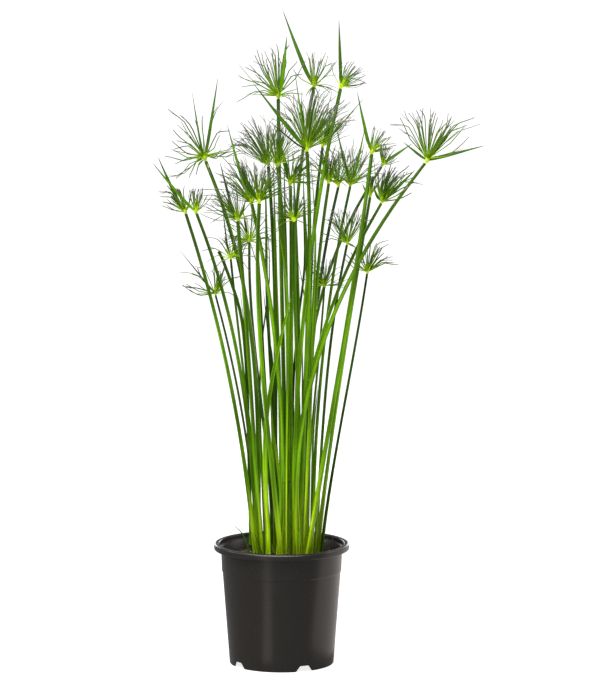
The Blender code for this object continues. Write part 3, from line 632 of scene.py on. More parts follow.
# %% Strand templates
LAYERS = ("along", "tone")
CULM_CORNERS = 0.10
BLADE_FOLD = 0.42
BLADE_THICKNESS = 0.14


def add_layers(bm):
    """Give a bmesh the UV map and the two numbers that strand materials read."""
    for name in LAYERS:
        bm.verts.layers.float.new(name)
    bm.loops.layers.uv.new("strand")


def strand_template(name, section, sides, rings):
    """A closed tube from z = 0 to z = 1 whose section is a rule from an angle to (x, y)."""
    bm = bmesh.new()
    add_layers(bm)
    bmesh.ops.create_cone(bm, cap_ends=True, segments=sides, radius1=1, radius2=1, depth=1,
                          matrix=Matrix.Translation((0, 0, 0.5)))
    upright = [edge for edge in bm.edges if abs(edge.verts[0].co.z - edge.verts[1].co.z) > 0.5]
    bmesh.ops.subdivide_edges(bm, edges=upright, cuts=rings - 1)
    uv_map = bm.loops.layers.uv["strand"]
    for face in bm.faces:
        shares = [(math.atan2(loop.vert.co.y, loop.vert.co.x) / math.tau) % 1.0 for loop in face.loops]
        over_seam = max(shares) - min(shares) > 0.5
        for loop, share in zip(face.loops, shares):
            loop[uv_map].uv = (share + 1 if over_seam and share < 0.5 else share, loop.vert.co.z)
    for vert in bm.verts:
        x, y = section(math.atan2(vert.co.y, vert.co.x))
        vert.co.x, vert.co.y = x, y
    mesh = bpy.data.meshes.new(name)
    bm.to_mesh(mesh)
    bm.free()
    return mesh


def round_section(angle):
    """A plain circle, which few sides make a three- or four-sided thread."""
    return math.cos(angle), math.sin(angle)


def culm_section(angle):
    """A blunt triangle: a papyrus culm has three flat sides with rounded corners."""
    reach = 1 - CULM_CORNERS + CULM_CORNERS * math.cos(3 * angle)
    return reach * math.cos(angle), reach * math.sin(angle)


def blade_section(angle):
    """A leaf folded along its middle, as thick as paper at its edges and keeled below."""
    across = math.cos(angle)
    return across, BLADE_FOLD * (abs(across) - 0.5) + BLADE_THICKNESS * math.sin(angle)


culm_tube = strand_template("culm_tube", culm_section, 15, 28)
blade_tube = strand_template("blade_tube", blade_section, 8, 14)
ray_tube = strand_template("ray_tube", round_section, 3, 6)
thread_tube = strand_template("thread_tube", round_section, 3, 5)
grain_tube = strand_template("grain_tube", round_section, 4, 2)
print("templates", culm_tube.name, blade_tube.name, ray_tube.name, thread_tube.name, grain_tube.name)

# %% [markdown]
# To lay a template along a path, each of its rings is moved to its place on a smooth curve and
# turned square to it. The frame across the path leans towards one fixed direction, so a strand
# never twists by accident.

# %% Lay a strand along a path
def curve_point(points, share):
    """Point on the smooth curve through a list of points, which are evenly far along it."""
    spot = share * (len(points) - 1)
    first = min(int(spot), len(points) - 2)
    t = spot - first
    before = points[max(first - 1, 0)]
    start = points[first]
    end = points[first + 1]
    after = points[min(first + 2, len(points) - 1)]
    pull_start = (end - before) / 2
    pull_end = (after - start) / 2
    return (start * (2 * t ** 3 - 3 * t ** 2 + 1) + pull_start * (t ** 3 - 2 * t ** 2 + t)
            + end * (3 * t ** 2 - 2 * t ** 3) + pull_end * (t ** 3 - t ** 2))


def frame_across(direction, towards):
    """Two unit vectors across a direction, the second leaning towards a given one."""
    side = towards.cross(direction)
    if side.length < 1e-6:
        side = Vector((1, 0, 0)).cross(direction)
    side.normalize()
    return side, direction.cross(side).normalized()


def value_along(values, share):
    """A list of values read as if it were evenly spread over a strand."""
    spot = share * (len(values) - 1)
    low = min(int(spot), len(values) - 2)
    return values[low] + (values[low + 1] - values[low]) * (spot - low)


def lay_strand(bm, template, points, widths, towards, tone, material=0, shares=(0.0, 1.0), turn=0.0):
    """Add a copy of a template along a path. Widths are read evenly along it."""
    first_vert = len(bm.verts)
    first_face = len(bm.faces)
    bm.from_mesh(template)
    bm.verts.ensure_lookup_table()
    bm.faces.ensure_lookup_table()
    along_layer = bm.verts.layers.float["along"]
    tone_layer = bm.verts.layers.float["tone"]
    uv_map = bm.loops.layers.uv["strand"]
    length = sum((b - a).length for a, b in zip(points, points[1:]))
    spin = Matrix.Rotation(turn, 2)
    places = {}
    for vert in bm.verts[first_vert:]:
        share = round(vert.co.z, 4)
        if share not in places:
            centre = curve_point(points, share)
            ahead = curve_point(points, min(share + 0.01, 1.0))
            nearby = ahead - curve_point(points, max(share - 0.01, 0.0))
            side, front = frame_across(nearby.normalized(), towards)
            width = value_along(widths, share)
            places[share] = (centre, side * width, front * width)
        centre, side, front = places[share]
        across = spin @ vert.co.xy
        vert.co = centre + side * across.x + front * across.y
        vert[along_layer] = shares[0] + (shares[1] - shares[0]) * share
        vert[tone_layer] = tone
    for face in bm.faces[first_face:]:
        face.material_index = material
        for loop in face.loops:
            loop[uv_map].uv.y *= length


def new_growth():
    """An empty bmesh that strands can be laid into."""
    bm = bmesh.new()
    add_layers(bm)
    return bm


print("a strand can be laid")

# %% [markdown]
# The culms' paths are in the frame, so nothing is placed by eye. Slicing a solid at a height
# gives one loop for each strand that passes there. Followed from the top down, the nearest loop
# is always the culm, and any loop left over belongs to a side shoot.

# %% Slice a solid
def loops_at(bm, height):
    """Centre and reach of each closed loop where a level plane cuts a solid."""
    cut = bm.copy()
    everything = cut.verts[:] + cut.edges[:] + cut.faces[:]
    made = bmesh.ops.bisect_plane(cut, geom=everything, dist=MERGE_DISTANCE / 10,
                                  plane_co=(0, 0, height), plane_no=UP)["geom_cut"]
    edges = [item for item in made if isinstance(item, bmesh.types.BMEdge)]
    neighbours = {}
    for edge in edges:
        one, other = edge.verts
        neighbours.setdefault(one, []).append(other)
        neighbours.setdefault(other, []).append(one)
    loops = []
    waiting = set(neighbours)
    while waiting:
        group = [waiting.pop()]
        for vert in group:
            for other in neighbours[vert]:
                if other in waiting:
                    waiting.remove(other)
                    group.append(other)
        centre = sum((vert.co for vert in group), Vector()) / len(group)
        reach = max((vert.co - centre).length for vert in group)
        loops.append((centre, reach))
    cut.free()
    return loops


print("stem_06 is cut at 300 mm into", len(loops_at(merged_copy("stem_06"), 0.3)), "loop")

# %% Follow culms and shoots
CULM_COUNT = 29
SLICES = 26
TOP_INSET = 0.2 * MM
SHOOT_JOIN_HEIGHT = 20 * MM


def follow_culm(node):
    """Path and half widths of a culm, and of the side shoot fused to its foot if it has one."""
    bm = merged_copy(node)
    heights = [vert.co.z for vert in bm.verts]
    low, high = min(heights), max(heights)
    foot_verts = [vert.co for vert in bm.verts if vert.co.z < low + MERGE_DISTANCE]
    foot = sum(foot_verts, Vector()) / len(foot_verts)
    corner = max(foot_verts, key=lambda spot: (spot - foot).length)
    culm, shoot = [], []
    for step in range(SLICES):
        height = high - TOP_INSET - (high - low - SHOOT_JOIN_HEIGHT) * step / SLICES
        loops = loops_at(bm, height)
        if culm:
            loops.sort(key=lambda loop: (loop[0] - culm[-1][0]).length)
        culm.append(loops[0])
        if len(loops) > 1:
            shoot.append(loops[1])
    bm.free()
    culm.append((foot, (corner - foot).length))
    return culm[::-1], shoot[::-1], math.atan2(corner.y - foot.y, corner.x - foot.x)


stems = [f"stem_{number:02d}" for number in range(1, CULM_COUNT + 1)]
followed = {node: follow_culm(node) for node in stems}
with_shoots = [node for node, (_, shoot, _) in followed.items() if shoot]
print("culms with a side shoot:", ", ".join(with_shoots))

# %% [markdown]
# A slice through a faceted solid wobbles by a fraction of a millimetre, which would show as
# kinks in a shiny culm. A culm bends one way near its foot and often back again under its
# head, so a third-degree curve in height fits its slices and takes the wobble out.

# %% Smooth a culm's path
FOOT_DEPTH = 5 * MM
TOP_OVERLAP = 1.2 * MM
PATH_POINTS = 12


def smooth_path(slices, below, above):
    """Even curve through slices, run on a little past both ends, and its half widths."""
    heights = np.array([centre.z for centre, _ in slices])
    x_fit = np.polyfit(heights, [centre.x for centre, _ in slices], 3)
    y_fit = np.polyfit(heights, [centre.y for centre, _ in slices], 3)
    levels = np.linspace(heights[0] - below, heights[-1] + above, PATH_POINTS)
    points = [Vector((np.polyval(x_fit, z), np.polyval(y_fit, z), z)) for z in levels]
    reaches = np.interp(levels, heights, [reach for _, reach in slices])
    tilt = [(b - a).normalized().z for a, b in zip(points, points[1:])]
    widths = [reach * lean for reach, lean in zip(reaches, tilt + tilt[-1:])]
    return points, widths


sample_points, sample_widths = smooth_path(followed["stem_06"][0], FOOT_DEPTH, TOP_OVERLAP)
print("stem_06 is", round(2 * sample_widths[0] / MM, 1), "mm wide at its foot and",
      round(2 * sample_widths[-1] / MM, 1), "mm at its head")

# %% [markdown]
# Each culm becomes a rounded three-sided strand of its own tone: the ones at the back and the edge of the
# clump are older, and their low tone also paints them darker and bluer as shade. Its side shoot, if it has
# one, is either a young leaf, which ends in a point, or an old culm that was cut, which ends flat with a
# dry brown face.

# %% Culms
# A low tone is painted shade as well as age, and a high tone is painted light.
CULM_TONES = dict(zip(stems, (
    0.60, 0.50, 0.45, 0.50, 0.45, 0.55, 0.15, 0.90, 0.75, 0.35,
    0.60, 0.70, 0.55, 0.60, 0.10, 0.15, 0.50, 0.05, 0.70, 0.95,
    0.85, 0.30, 0.70, 0.75, 0.60, 0.55, 0.30, 0.02, 0.05)))
LEAF_SHOOTS = {"stem_26": 1.0, "stem_19": 0.6, "stem_12": 0.5}
CUT_SHOOTS = {"stem_03": 0.15, "stem_05": 0.0, "stem_11": 0.2, "stem_20": 0.0, "stem_22": 0.0}
LEAF_OUTLINE = (0.95, 1.0, 0.95, 0.85, 0.75, 0.5)
POINT_WIDTH = 0.02 * MM
SHOOT_POINTS = 6
BACKWARDS = Vector((0, 1, 0))


def add_shoot(bm, node, slices):
    """Lay a side shoot from the soil up, folded like a leaf if it is one."""
    foot = slices[0][0]
    points = [centre for centre, _ in slices]
    step = max(1, len(points) // SHOOT_POINTS)
    points = [foot + Vector((0, 0, -SHOOT_JOIN_HEIGHT - FOOT_DEPTH))] + points[::step] + points[-1:]
    reaches = [reach for _, reach in slices]
    low, high = reaches[0], reaches[-1]
    if node in LEAF_SHOOTS:
        points[-1] = points[-1] + (points[-1] - points[-3]).normalized() * low
        outline = [low * share for share in LEAF_OUTLINE] + [POINT_WIDTH]
        lay_strand(bm, blade_tube, points, outline, Vector((0, -1, 0.2)), LEAF_SHOOTS[node],
                   shares=(0.0, 0.55))
    else:
        lay_strand(bm, culm_tube, points, [low, (low + high) / 2, high], BACKWARDS, CUT_SHOOTS[node],
                   shares=(0.05, 0.8))


for node, (slices, shoot, turn) in followed.items():
    bm = new_growth()
    points, widths = smooth_path(slices, FOOT_DEPTH, TOP_OVERLAP)
    lay_strand(bm, culm_tube, points, widths, BACKWARDS, CULM_TONES[node], turn=turn)
    if shoot:
        add_shoot(bm, node, shoot)
    finish_piece(node.replace("stem", "culm"), bm, [culm_skin], [node])
culm_triangles = sum(count for name, count in triangle_counts.items() if "culm" in name)
print(len(followed), "culms,", culm_triangles, "triangles")

# %% [markdown]
# A head is read from its solid in the same spirit. Every blade and ray ends in a point where
# just three edges meet, and behind that point the rings of three vertices lead back to the hub.
# A ray has two such rings and a blade has three, which tells them apart.

# %% Read the heads
def rings_behind(tip):
    """Rings of three vertices from a tip back to the hub's own face."""
    seen = {tip}
    ring = [edge.other_vert(tip) for edge in tip.link_edges]
    rings = []
    while len(ring) == 3:
        rings.append(ring)
        seen.update(ring)
        beyond = {edge.other_vert(vert) for vert in ring for edge in vert.link_edges}
        ring = list(beyond - seen)
    return rings


def middle_of(ring):
    """Middle of a ring of vertices."""
    return sum((vert.co for vert in ring), Vector()) / len(ring)


def read_head(node):
    """A head's hub, blades as (path, half widths) and rays as paths, all from its solid."""
    bm = merged_copy(node)
    spikes = []
    outer = set()
    for vert in bm.verts:
        if len(vert.link_edges) == 3:
            rings = rings_behind(vert)
            spikes.append((vert.co.copy(), rings))
            outer.add(vert)
            outer.update(v for ring in rings[:-1] for v in ring)
    knob = [vert.co for vert in bm.verts if vert not in outer]
    hub = sum(knob, Vector()) / len(knob)
    hub_radius = max((spot - hub).length for spot in knob)
    blades, rays = [], []
    for tip, rings in spikes:
        sections = rings[-2::-1]
        if len(sections) < 3:
            rays.append([middle_of(rings[-1])] + [middle_of(ring) for ring in sections] + [tip])
            continue
        path, widths = [middle_of(rings[-1])], []
        for ring in sections:
            pairs = [(ring[0], ring[1]), (ring[1], ring[2]), (ring[2], ring[0])]
            one, other = max(pairs, key=lambda pair: (pair[0].co - pair[1].co).length)
            path.append((one.co + other.co) / 2)
            widths.append((one.co - other.co).length / 2)
        blades.append((path + [tip], widths))
    bm.free()
    return hub, hub_radius, blades, rays


umbels = [node.replace("stem", "umbel") for node in stems]
heads = {node: read_head(node) for node in umbels}
print("blades:", sum(len(head[2]) for head in heads.values()),
      "rays in the solids:", sum(len(head[3]) for head in heads.values()))

# %% [markdown]
# The solids hold only a share of the rays, because real ones are threads about a millimetre thick and there
# are dozens in a head. Some of the missing ones stand out in the photograph against the white, so their
# tips are listed, as steps sideways and up from the hub.
# The others grow between the ones that are there: each takes two of them and runs part of the
# way between, so that the head keeps its outline. The open heads have fewer and bolder rays.

# %% Listed rays
LONG_RAYS = {
    "umbel_01": ((-32, 24), (-31, 17), (-22, 31), (-8, 28)),
    "umbel_03": ((-46, 61), (-38, 12), (-37, -8), (-36, -27), (-20, -26), (32, 34), (22, 68), (-30, 55),
                 (6, -18), (38, 8)),
    "umbel_04": ((-50, 26), (-40, 37), (-17, 56), (-2, 63), (14, 64), (24, 44), (22, 8), (-52, -9),
                 (-30, 42), (-31, 18), (-32, 1), (-10, 60), (30, 26), (16, -5), (26, -8), (30, 2)),
    "umbel_05": ((-10, 41), (-3, 38), (13, 36), (26, 12), (34, -11), (22, 27), (28, -3), (20, -10),
                 (-10, -14), (-3, -16), (6, -17)),
    "umbel_06": ((30, 74), (46, 61), (20, 70), (-27, 55), (53, 56), (53, 28), (-10, 60), (4, 66), (38, 40),
                 (-24, 66), (-34, 58), (-40, 48), (-17, 70), (-44, 38)),
    "umbel_07": ((30, 50), (38, 42), (22, 55), (44, 30)),
    "umbel_08": ((27, 14), (17, 25), (7, 29), (30, 4), (23, 20)),
    "umbel_09": ((24, 17), (27, 10), (24, 2), (14, 25), (1, 30)),
    "umbel_11": ((33, 43), (49, 19), (15, 38), (24, 31), (42, 30)),
    "umbel_13": ((17, 50), (-14, 52), (4, 56), (28, 40), (36, 30), (-26, 44), (-36, 28), (44, 14),
                 (30, -4)),
    "umbel_14": ((-20, 40), (-32, 28), (-40, 12), (8, 44), (22, -6), (20, 38), (-10, 44)),
    "umbel_15": ((-12, 46), (2, 48), (14, 45), (26, 38), (-26, 38), (36, 26), (-38, 20)),
    "umbel_16": ((-30, 30), (-22, 40), (-8, 44), (-34, 14), (12, 40), (-36, -2), (30, 28)),
    "umbel_17": ((-26, 20), (-32, 8), (22, 26), (28, -4), (-20, -10)),
    "umbel_18": ((19, 33), (25, 39), (39, 9), (-8, 14), (8, 26), (30, 20)),
    "umbel_19": ((-46, 44), (-34, 40), (-28, 60), (-23, 57), (-13, 60), (-9, 63), (7, 57), (13, 52),
                 (19, 52), (26, 43), (33, 49), (40, 37), (47, 45), (59, 50), (66, 43)),
    "umbel_20": ((-37, 54), (-30, 46), (-30, 34), (-12, 52), (-22, 58), (-44, 34), (-48, 16), (-40, 4)),
    "umbel_21": ((-6, 48), (10, 47), (24, 42), (34, 32), (42, 18), (40, 2), (-24, 36)),
    "umbel_22": ((-37, 42), (-30, 51), (-21, 54), (-44, 30), (-10, 58), (8, 58), (18, 52), (-50, 20),
                 (-52, 6)),
    "umbel_23": ((10, 48), (20, 42), (-6, 50), (28, 34), (36, 20), (-18, 44), (38, 6)),
    "umbel_24": ((-20, 24), (18, 36), (30, 24), (34, 6), (-30, 10), (-4, 42), (28, -8)),
    "umbel_25": ((-26, 20), (-30, 4), (26, 22), (30, 8), (-22, -12), (24, -10), (-10, 32)),
    "umbel_26": ((-44, 36), (-38, 9), (-30, 32), (-40, 24), (28, 24), (34, 8), (28, -12), (-34, -6)),
    "umbel_27": ((-30, 26), (-36, 8), (28, 22), (32, 2), (24, -18), (-24, -16), (12, 34)),
    "umbel_28": ((-42, 28), (-41, 12), (-4, 30), (16, 20), (-26, 34), (12, 31), (34, 24), (30, -6)),
    "umbel_29": ((-30, 22), (-12, 36), (22, 30), (8, 38), (-34, 2), (-28, -16), (34, 14), (36, -8),
                 (26, -24), (10, -30), (-12, -28), (-22, 32)),
}
DEPTH_SHARE = 0.35
START_SHARE = 0.1
KNEE_SHARE = 0.55
KNEE_LIFT = (0.04, 0.26)


def long_ray(node, step, generator):
    """Path from a hub to a tip given as its steps in millimetres, bowed a little upwards."""
    hub = heads[node][0]
    across, up = step
    reach = math.hypot(across, up) * MM
    offset = Vector((across * MM, generator.uniform(-DEPTH_SHARE, DEPTH_SHARE) * reach, up * MM))
    knee = offset * KNEE_SHARE + UP * generator.uniform(*KNEE_LIFT) * reach
    start = hub + knee.normalized() * heads[node][1]
    return [start, start + knee.normalized() * START_SHARE * reach, hub + knee, hub + offset]


print(sum(len(steps) for steps in LONG_RAYS.values()), "rays are chosen by hand")

# %% Rays between rays
RAY_RADIUS = 0.56 * MM
BOLD_RAY_RADIUS = 0.76 * MM
BOLD_HEADS = ("umbel_01", "umbel_03", "umbel_04", "umbel_11", "umbel_18", "umbel_19", "umbel_28")
RAYS_IN_HEAD = dict(zip(umbels, (
    24, 22, 32, 38, 32, 86, 40, 28, 24, 22, 36, 28, 42, 38, 32,
    40, 36, 26, 40, 52, 48, 56, 50, 46, 44, 46, 34, 26, 44)))
NEIGHBOUR_ANGLE = math.radians(75)
BETWEEN = (0.15, 0.85)
REACH_SPREAD = (0.82, 1.0)


def ray_between(hub, first, second, share, length_share):
    """Path that runs between two rays of one head."""
    points = []
    for one, other in zip(first, second):
        offset = (one - hub).lerp(other - hub, share)
        length = (one - hub).length * (1 - share) + (other - hub).length * share
        points.append(hub + offset.normalized() * length * length_share)
    return points


def all_rays(node, generator):
    """The solid's own rays, the ones chosen by hand, and the threads that stand between them."""
    hub, _, _, rays = heads[node]
    chosen = [long_ray(node, step, generator) for step in LONG_RAYS.get(node, ())]
    paths = list(rays) + chosen
    while len(paths) < RAYS_IN_HEAD[node]:
        first, second = generator.sample(rays + chosen, 2)
        if (first[-1] - hub).angle(second[-1] - hub) > NEIGHBOUR_ANGLE:
            continue
        share = generator.uniform(*BETWEEN)
        paths.append(ray_between(hub, first, second, share, generator.uniform(*REACH_SPREAD)))
    return paths


print("umbel_06 grows to", len(all_rays("umbel_06", random.Random(1))), "rays")

# %% [markdown]
# At its base every ray sits in a lime sheath, and the sheaths crowd together into the bright
# knot that marks each head. The knot is a small cup, and the sheaths are short tapered strands
# that start inside it. In their outer half some rays send out a finer thread at a narrow
# angle, and some end in a husk no bigger than a grain.

# %% Parts of a head
HEAD_LIME, BLADE, RAY, HUSK = range(4)
SHEATH_LENGTH = 8 * MM
SHEATH_RADIUS = 0.85 * MM
HUSK_LENGTH = 2.4 * MM
HUSK_RADIUS = 0.30 * MM
FORKED_SHARE = 0.3
HUSKED_SHARE = 0.3
SIDE_THREAD_LENGTH = 0.36
SIDE_THREAD_RADIUS = 0.28 * MM
SIDE_THREAD_LEAN = 0.15
FORK_PLACES = (0.45, 0.7)
FORK_SPREAD = (0.5, 1.0)
KNOT_SHAPE = (0.62, 0.62, 0.85, 1.0)
SWAY = 0.06
SIZE_SPREAD = (0.7, 1.15)
RAY_OUTLINE = (1.15, 1.1, 1.05, 0.95, 0.7)
SHEATH_SHARE = 0.4
SHEATH_SPREAD = (0.75, 1.05)
HUSK_LEAN = 0.3
HUSK_SPREAD = (0.7, 1.0)
HUSK_OUTLINE = (0.5, 1.0, 0.2)
BLADE_ROOT = 0.4
BLADE_CLASP = 0.62
BLADE_SHOULDER = 0.95
BLADE_TAPER = 0.52
BLADE_POINT_WIDTH = 0.03 * MM


def add_knot(bm, hub, radius, axis, tone):
    """The bright cup where the blades and sheaths meet, a little taller than wide."""
    turn = axis.to_track_quat("Z", "Y").to_matrix().to_4x4()
    shape = Matrix.Translation(hub) @ turn @ Matrix.Diagonal(KNOT_SHAPE)
    made = bmesh.ops.create_icosphere(bm, subdivisions=3, radius=radius, matrix=shape)
    tone_layer = bm.verts.layers.float["tone"]
    for vert in made["verts"]:
        vert[tone_layer] = tone


def random_side(direction, generator):
    """A unit vector square to a direction, turned by chance."""
    side, front = frame_across(direction, UP)
    angle = generator.uniform(0, math.tau)
    return side * math.cos(angle) + front * math.sin(angle)


def add_side_thread(bm, points, reach, tone, generator):
    """A finer thread that leaves a ray in its outer half."""
    share = generator.uniform(*FORK_PLACES)
    start = curve_point(points, share)
    direction = (curve_point(points, min(share + 0.05, 1.0)) - start).normalized()
    side = random_side(direction, generator) * SIDE_THREAD_LEAN
    length = reach * SIDE_THREAD_LENGTH * generator.uniform(*FORK_SPREAD)
    bend = start + (direction + side).normalized() * length * 0.5
    tip = bend + (direction + side * 0.6).normalized() * length * 0.5
    widths = [SIDE_THREAD_RADIUS, SIDE_THREAD_RADIUS, SIDE_THREAD_RADIUS * 0.5]
    lay_strand(bm, grain_tube, [start, bend, tip], widths, UP, tone, RAY, (share, 1.0))


def add_ray(bm, hub, path, radius, generator):
    """A sheath, a thread that wavers a little and may divide, and a husk on some."""
    start, knee, tip = path[0], path[-2], path[-1]
    reach = (tip - hub).length
    outward = (path[1] - hub).normalized()
    sway = random_side(outward, generator) * reach * generator.uniform(0.0, SWAY)
    tone = generator.random()
    sheath_length = min(SHEATH_LENGTH, reach * SHEATH_SHARE)
    sheath_end = start + outward * sheath_length * generator.uniform(*SIZE_SPREAD)
    girth = SHEATH_RADIUS * generator.uniform(*SHEATH_SPREAD)
    lay_strand(bm, thread_tube, [hub + outward * MM, start, sheath_end],
               [girth, girth, girth * 0.8, radius], UP, tone, HEAD_LIME, (0.0, 0.4))
    middle = knee + sway
    points = [start, (start + middle) / 2, middle, (middle + tip) / 2 + sway * 0.7, tip]
    thickness = radius * generator.uniform(*SIZE_SPREAD)
    outline = [thickness * share for share in RAY_OUTLINE]
    lay_strand(bm, ray_tube, points, outline, UP, tone, RAY)
    if generator.random() < FORKED_SHARE:
        add_side_thread(bm, points, reach, tone, generator)
    if generator.random() < HUSKED_SHARE:
        lean = (tip - knee).normalized() + random_side(outward, generator) * HUSK_LEAN
        end = tip + lean.normalized() * HUSK_LENGTH * generator.uniform(*HUSK_SPREAD)
        husk_widths = [HUSK_RADIUS * share for share in HUSK_OUTLINE]
        lay_strand(bm, grain_tube, [tip, end], husk_widths, UP, tone, HUSK)


def add_blade(bm, hub, path, widths, tone):
    """A folded leaf that clasps the knot, widens a little and runs out to a point."""
    widest, middle, narrow = widths
    clasp = [widest * BLADE_CLASP, widest * BLADE_SHOULDER]
    outline = clasp + [widest, middle, narrow, narrow * BLADE_TAPER, BLADE_POINT_WIDTH]
    path = [hub.lerp(path[0], BLADE_ROOT)] + path[1:]
    lay_strand(bm, blade_tube, path, outline, Vector((0, -1, 0.5)), tone, BLADE)


print("a head has four materials:", head_skin.name, blade_skin.name, ray_skin.name, husk_skin.name)

# %% Heads
ray_total = 0
for node, (hub, hub_radius, blades, rays) in heads.items():
    generator = random.Random(node)
    bm = new_growth()
    axis = sum(((path[-1] - hub).normalized() for path in rays), Vector()).normalized()
    add_knot(bm, hub, hub_radius, axis, generator.random())
    for path, widths in blades:
        add_blade(bm, hub, path, widths, generator.random())
    paths = all_rays(node, generator)
    ray_total += len(paths)
    ray_radius = BOLD_RAY_RADIUS if node in BOLD_HEADS else RAY_RADIUS
    for path in paths:
        add_ray(bm, hub, path, ray_radius, generator)
    skins = [head_skin, blade_skin, ray_skin, husk_skin]
    finish_piece(node.replace("umbel", "head"), bm, skins, [node])
head_triangles = sum(count for name, count in triangle_counts.items() if "head" in name)
print(len(heads), "heads with", ray_total, "rays,", head_triangles, "triangles")

# %% [markdown]
# The surface of the soil is littered: crumbs of peat, a few pale grains, and dry threads. They
# are too many to place by hand, so a seeded generator scatters them, and each one sits on the
# soil's own height.

# %% Litter on the soil
CRUMBS = 520
CRUMB_RADII = (0.7 * MM, 2.1 * MM)
CRUMB_MARGIN = 3 * MM
CRUMB_LIFT = 0.2
CRUMB_BREADTHS = (0.6, 0.9)
CRUMB_HEIGHTS = (0.5, 0.8)
CRUMB_RAGGEDNESS = 0.2
PALE_GRAINS = 46
GRAIN_RADII = (0.5 * MM, 1.2 * MM)
THREADS = 90
THREAD_STEP = 3.2 * MM
THREAD_WIDTHS = (0.35 * MM, 0.3 * MM, 0.12 * MM)
THREAD_MARGIN = 8 * MM
THREAD_TURN = 0.6
THREAD_LIFT = (0.3, 1.6)
SOIL_MATTER, GRIT, DRY = range(3)
scatter = random.Random(21)


def random_spot(limit):
    """A spot on the soil, as likely in one place as in another."""
    angle = scatter.uniform(0, math.tau)
    radius = limit * math.sqrt(scatter.random())
    return radius * math.cos(angle), radius * math.sin(angle)


def add_crumb(bm, size, material):
    """A small lump with no even side, half sunk in the soil."""
    x, y = random_spot(soil_radius - CRUMB_MARGIN)
    place = Matrix.Translation((x, y, soil_height(x, y) + size * CRUMB_LIFT))
    turn = Matrix.Rotation(scatter.uniform(0, math.tau), 4, Vector((scatter.random(), scatter.random(), 1)))
    shape = Matrix.Diagonal((1, scatter.uniform(*CRUMB_BREADTHS), scatter.uniform(*CRUMB_HEIGHTS), 1))
    lump = bmesh.ops.create_icosphere(bm, subdivisions=1, radius=size, matrix=place @ turn @ shape)
    for vert in lump["verts"]:
        vert.co += Vector([scatter.uniform(-CRUMB_RAGGEDNESS, CRUMB_RAGGEDNESS) * size for _ in range(3)])
        for face in vert.link_faces:
            face.material_index = material


litter = new_growth()
for _ in range(CRUMBS):
    add_crumb(litter, scatter.uniform(*CRUMB_RADII), SOIL_MATTER)
for _ in range(PALE_GRAINS):
    add_crumb(litter, scatter.uniform(*GRAIN_RADII), GRIT)
for _ in range(THREADS):
    x, y = random_spot(soil_radius - THREAD_MARGIN)
    heading = scatter.uniform(0, math.tau)
    points = []
    for step in range(4):
        spot = Vector((x, y, 0)) + Vector((math.cos(heading), math.sin(heading), 0)) * step * THREAD_STEP
        heading += scatter.uniform(-THREAD_TURN, THREAD_TURN)
        height = soil_height(spot.x, spot.y) + scatter.uniform(*THREAD_LIFT) * MM
        points.append(Vector((spot.x, spot.y, height)))
    lay_strand(litter, thread_tube, points, THREAD_WIDTHS, UP, scatter.random(), DRY)
finish_piece("soil_litter", litter, [soil_matter, grit, dry_skin])
print("litter has", triangle_counts["soil_litter"], "triangles")

# %% [markdown]
# Old leaves stand round the foot of the clump: papery brown sheaths that clasp the culms, and short twigs
# at the right. Each is a strand whose points are listed, in millimetres, from where they stand in the
# photograph.

# %% Dry leaves and twigs
DRY_LEAVES = (
    ([(7, -50, 132), (6, -51, 141), (8, -52, 149), (11, -52, 158)], 1.9, 0.7),
    ([(12, -50, 132), (14, -52, 142), (16, -54, 152)], 1.5, 0.3),
    ([(57, 8, 133), (60, 6, 146), (63, 4, 153), (66, 2, 163)], 0.8, 0.9),
    ([(60, 20, 133), (62, 17, 142), (67, 14, 151)], 0.9, 0.7),
    ([(2, -44, 132), (0, -46, 143), (-2, -48, 153)], 1.6, 0.5),
)
SHORT_OUTLINE = (1.0, 0.9, 0.7, 0.4, 0.05)


def lay_leaf(bm, leaf, outline, facing, shares=(0.0, 1.0)):
    """Lay a folded leaf. A leaf is its points and half width in millimetres, and its tone."""
    spots, half_width, tone = leaf
    points = [Vector(spot) * MM for spot in spots]
    widths = [half_width * MM * share for share in outline]
    lay_strand(bm, blade_tube, points, widths, Vector(facing), tone, shares=shares)


dry = new_growth()
for leaf in DRY_LEAVES:
    lay_leaf(dry, leaf, SHORT_OUTLINE, (0.3, -1, 0.1))
finish_piece("dry_leaves", dry, [dry_skin])
print("dry leaves have", triangle_counts["dry_leaves"], "triangles")

# %% [markdown]
# Between the culms stand narrow green leaves that cling to them, with their tips at the height
# of the lower heads. Each follows the points where it shows in the photograph, from the soil
# up, and the culm beside it reaches past its tip. Three short dark blades stand at the left of
# the clump, and the longest of them bends towards the rim.

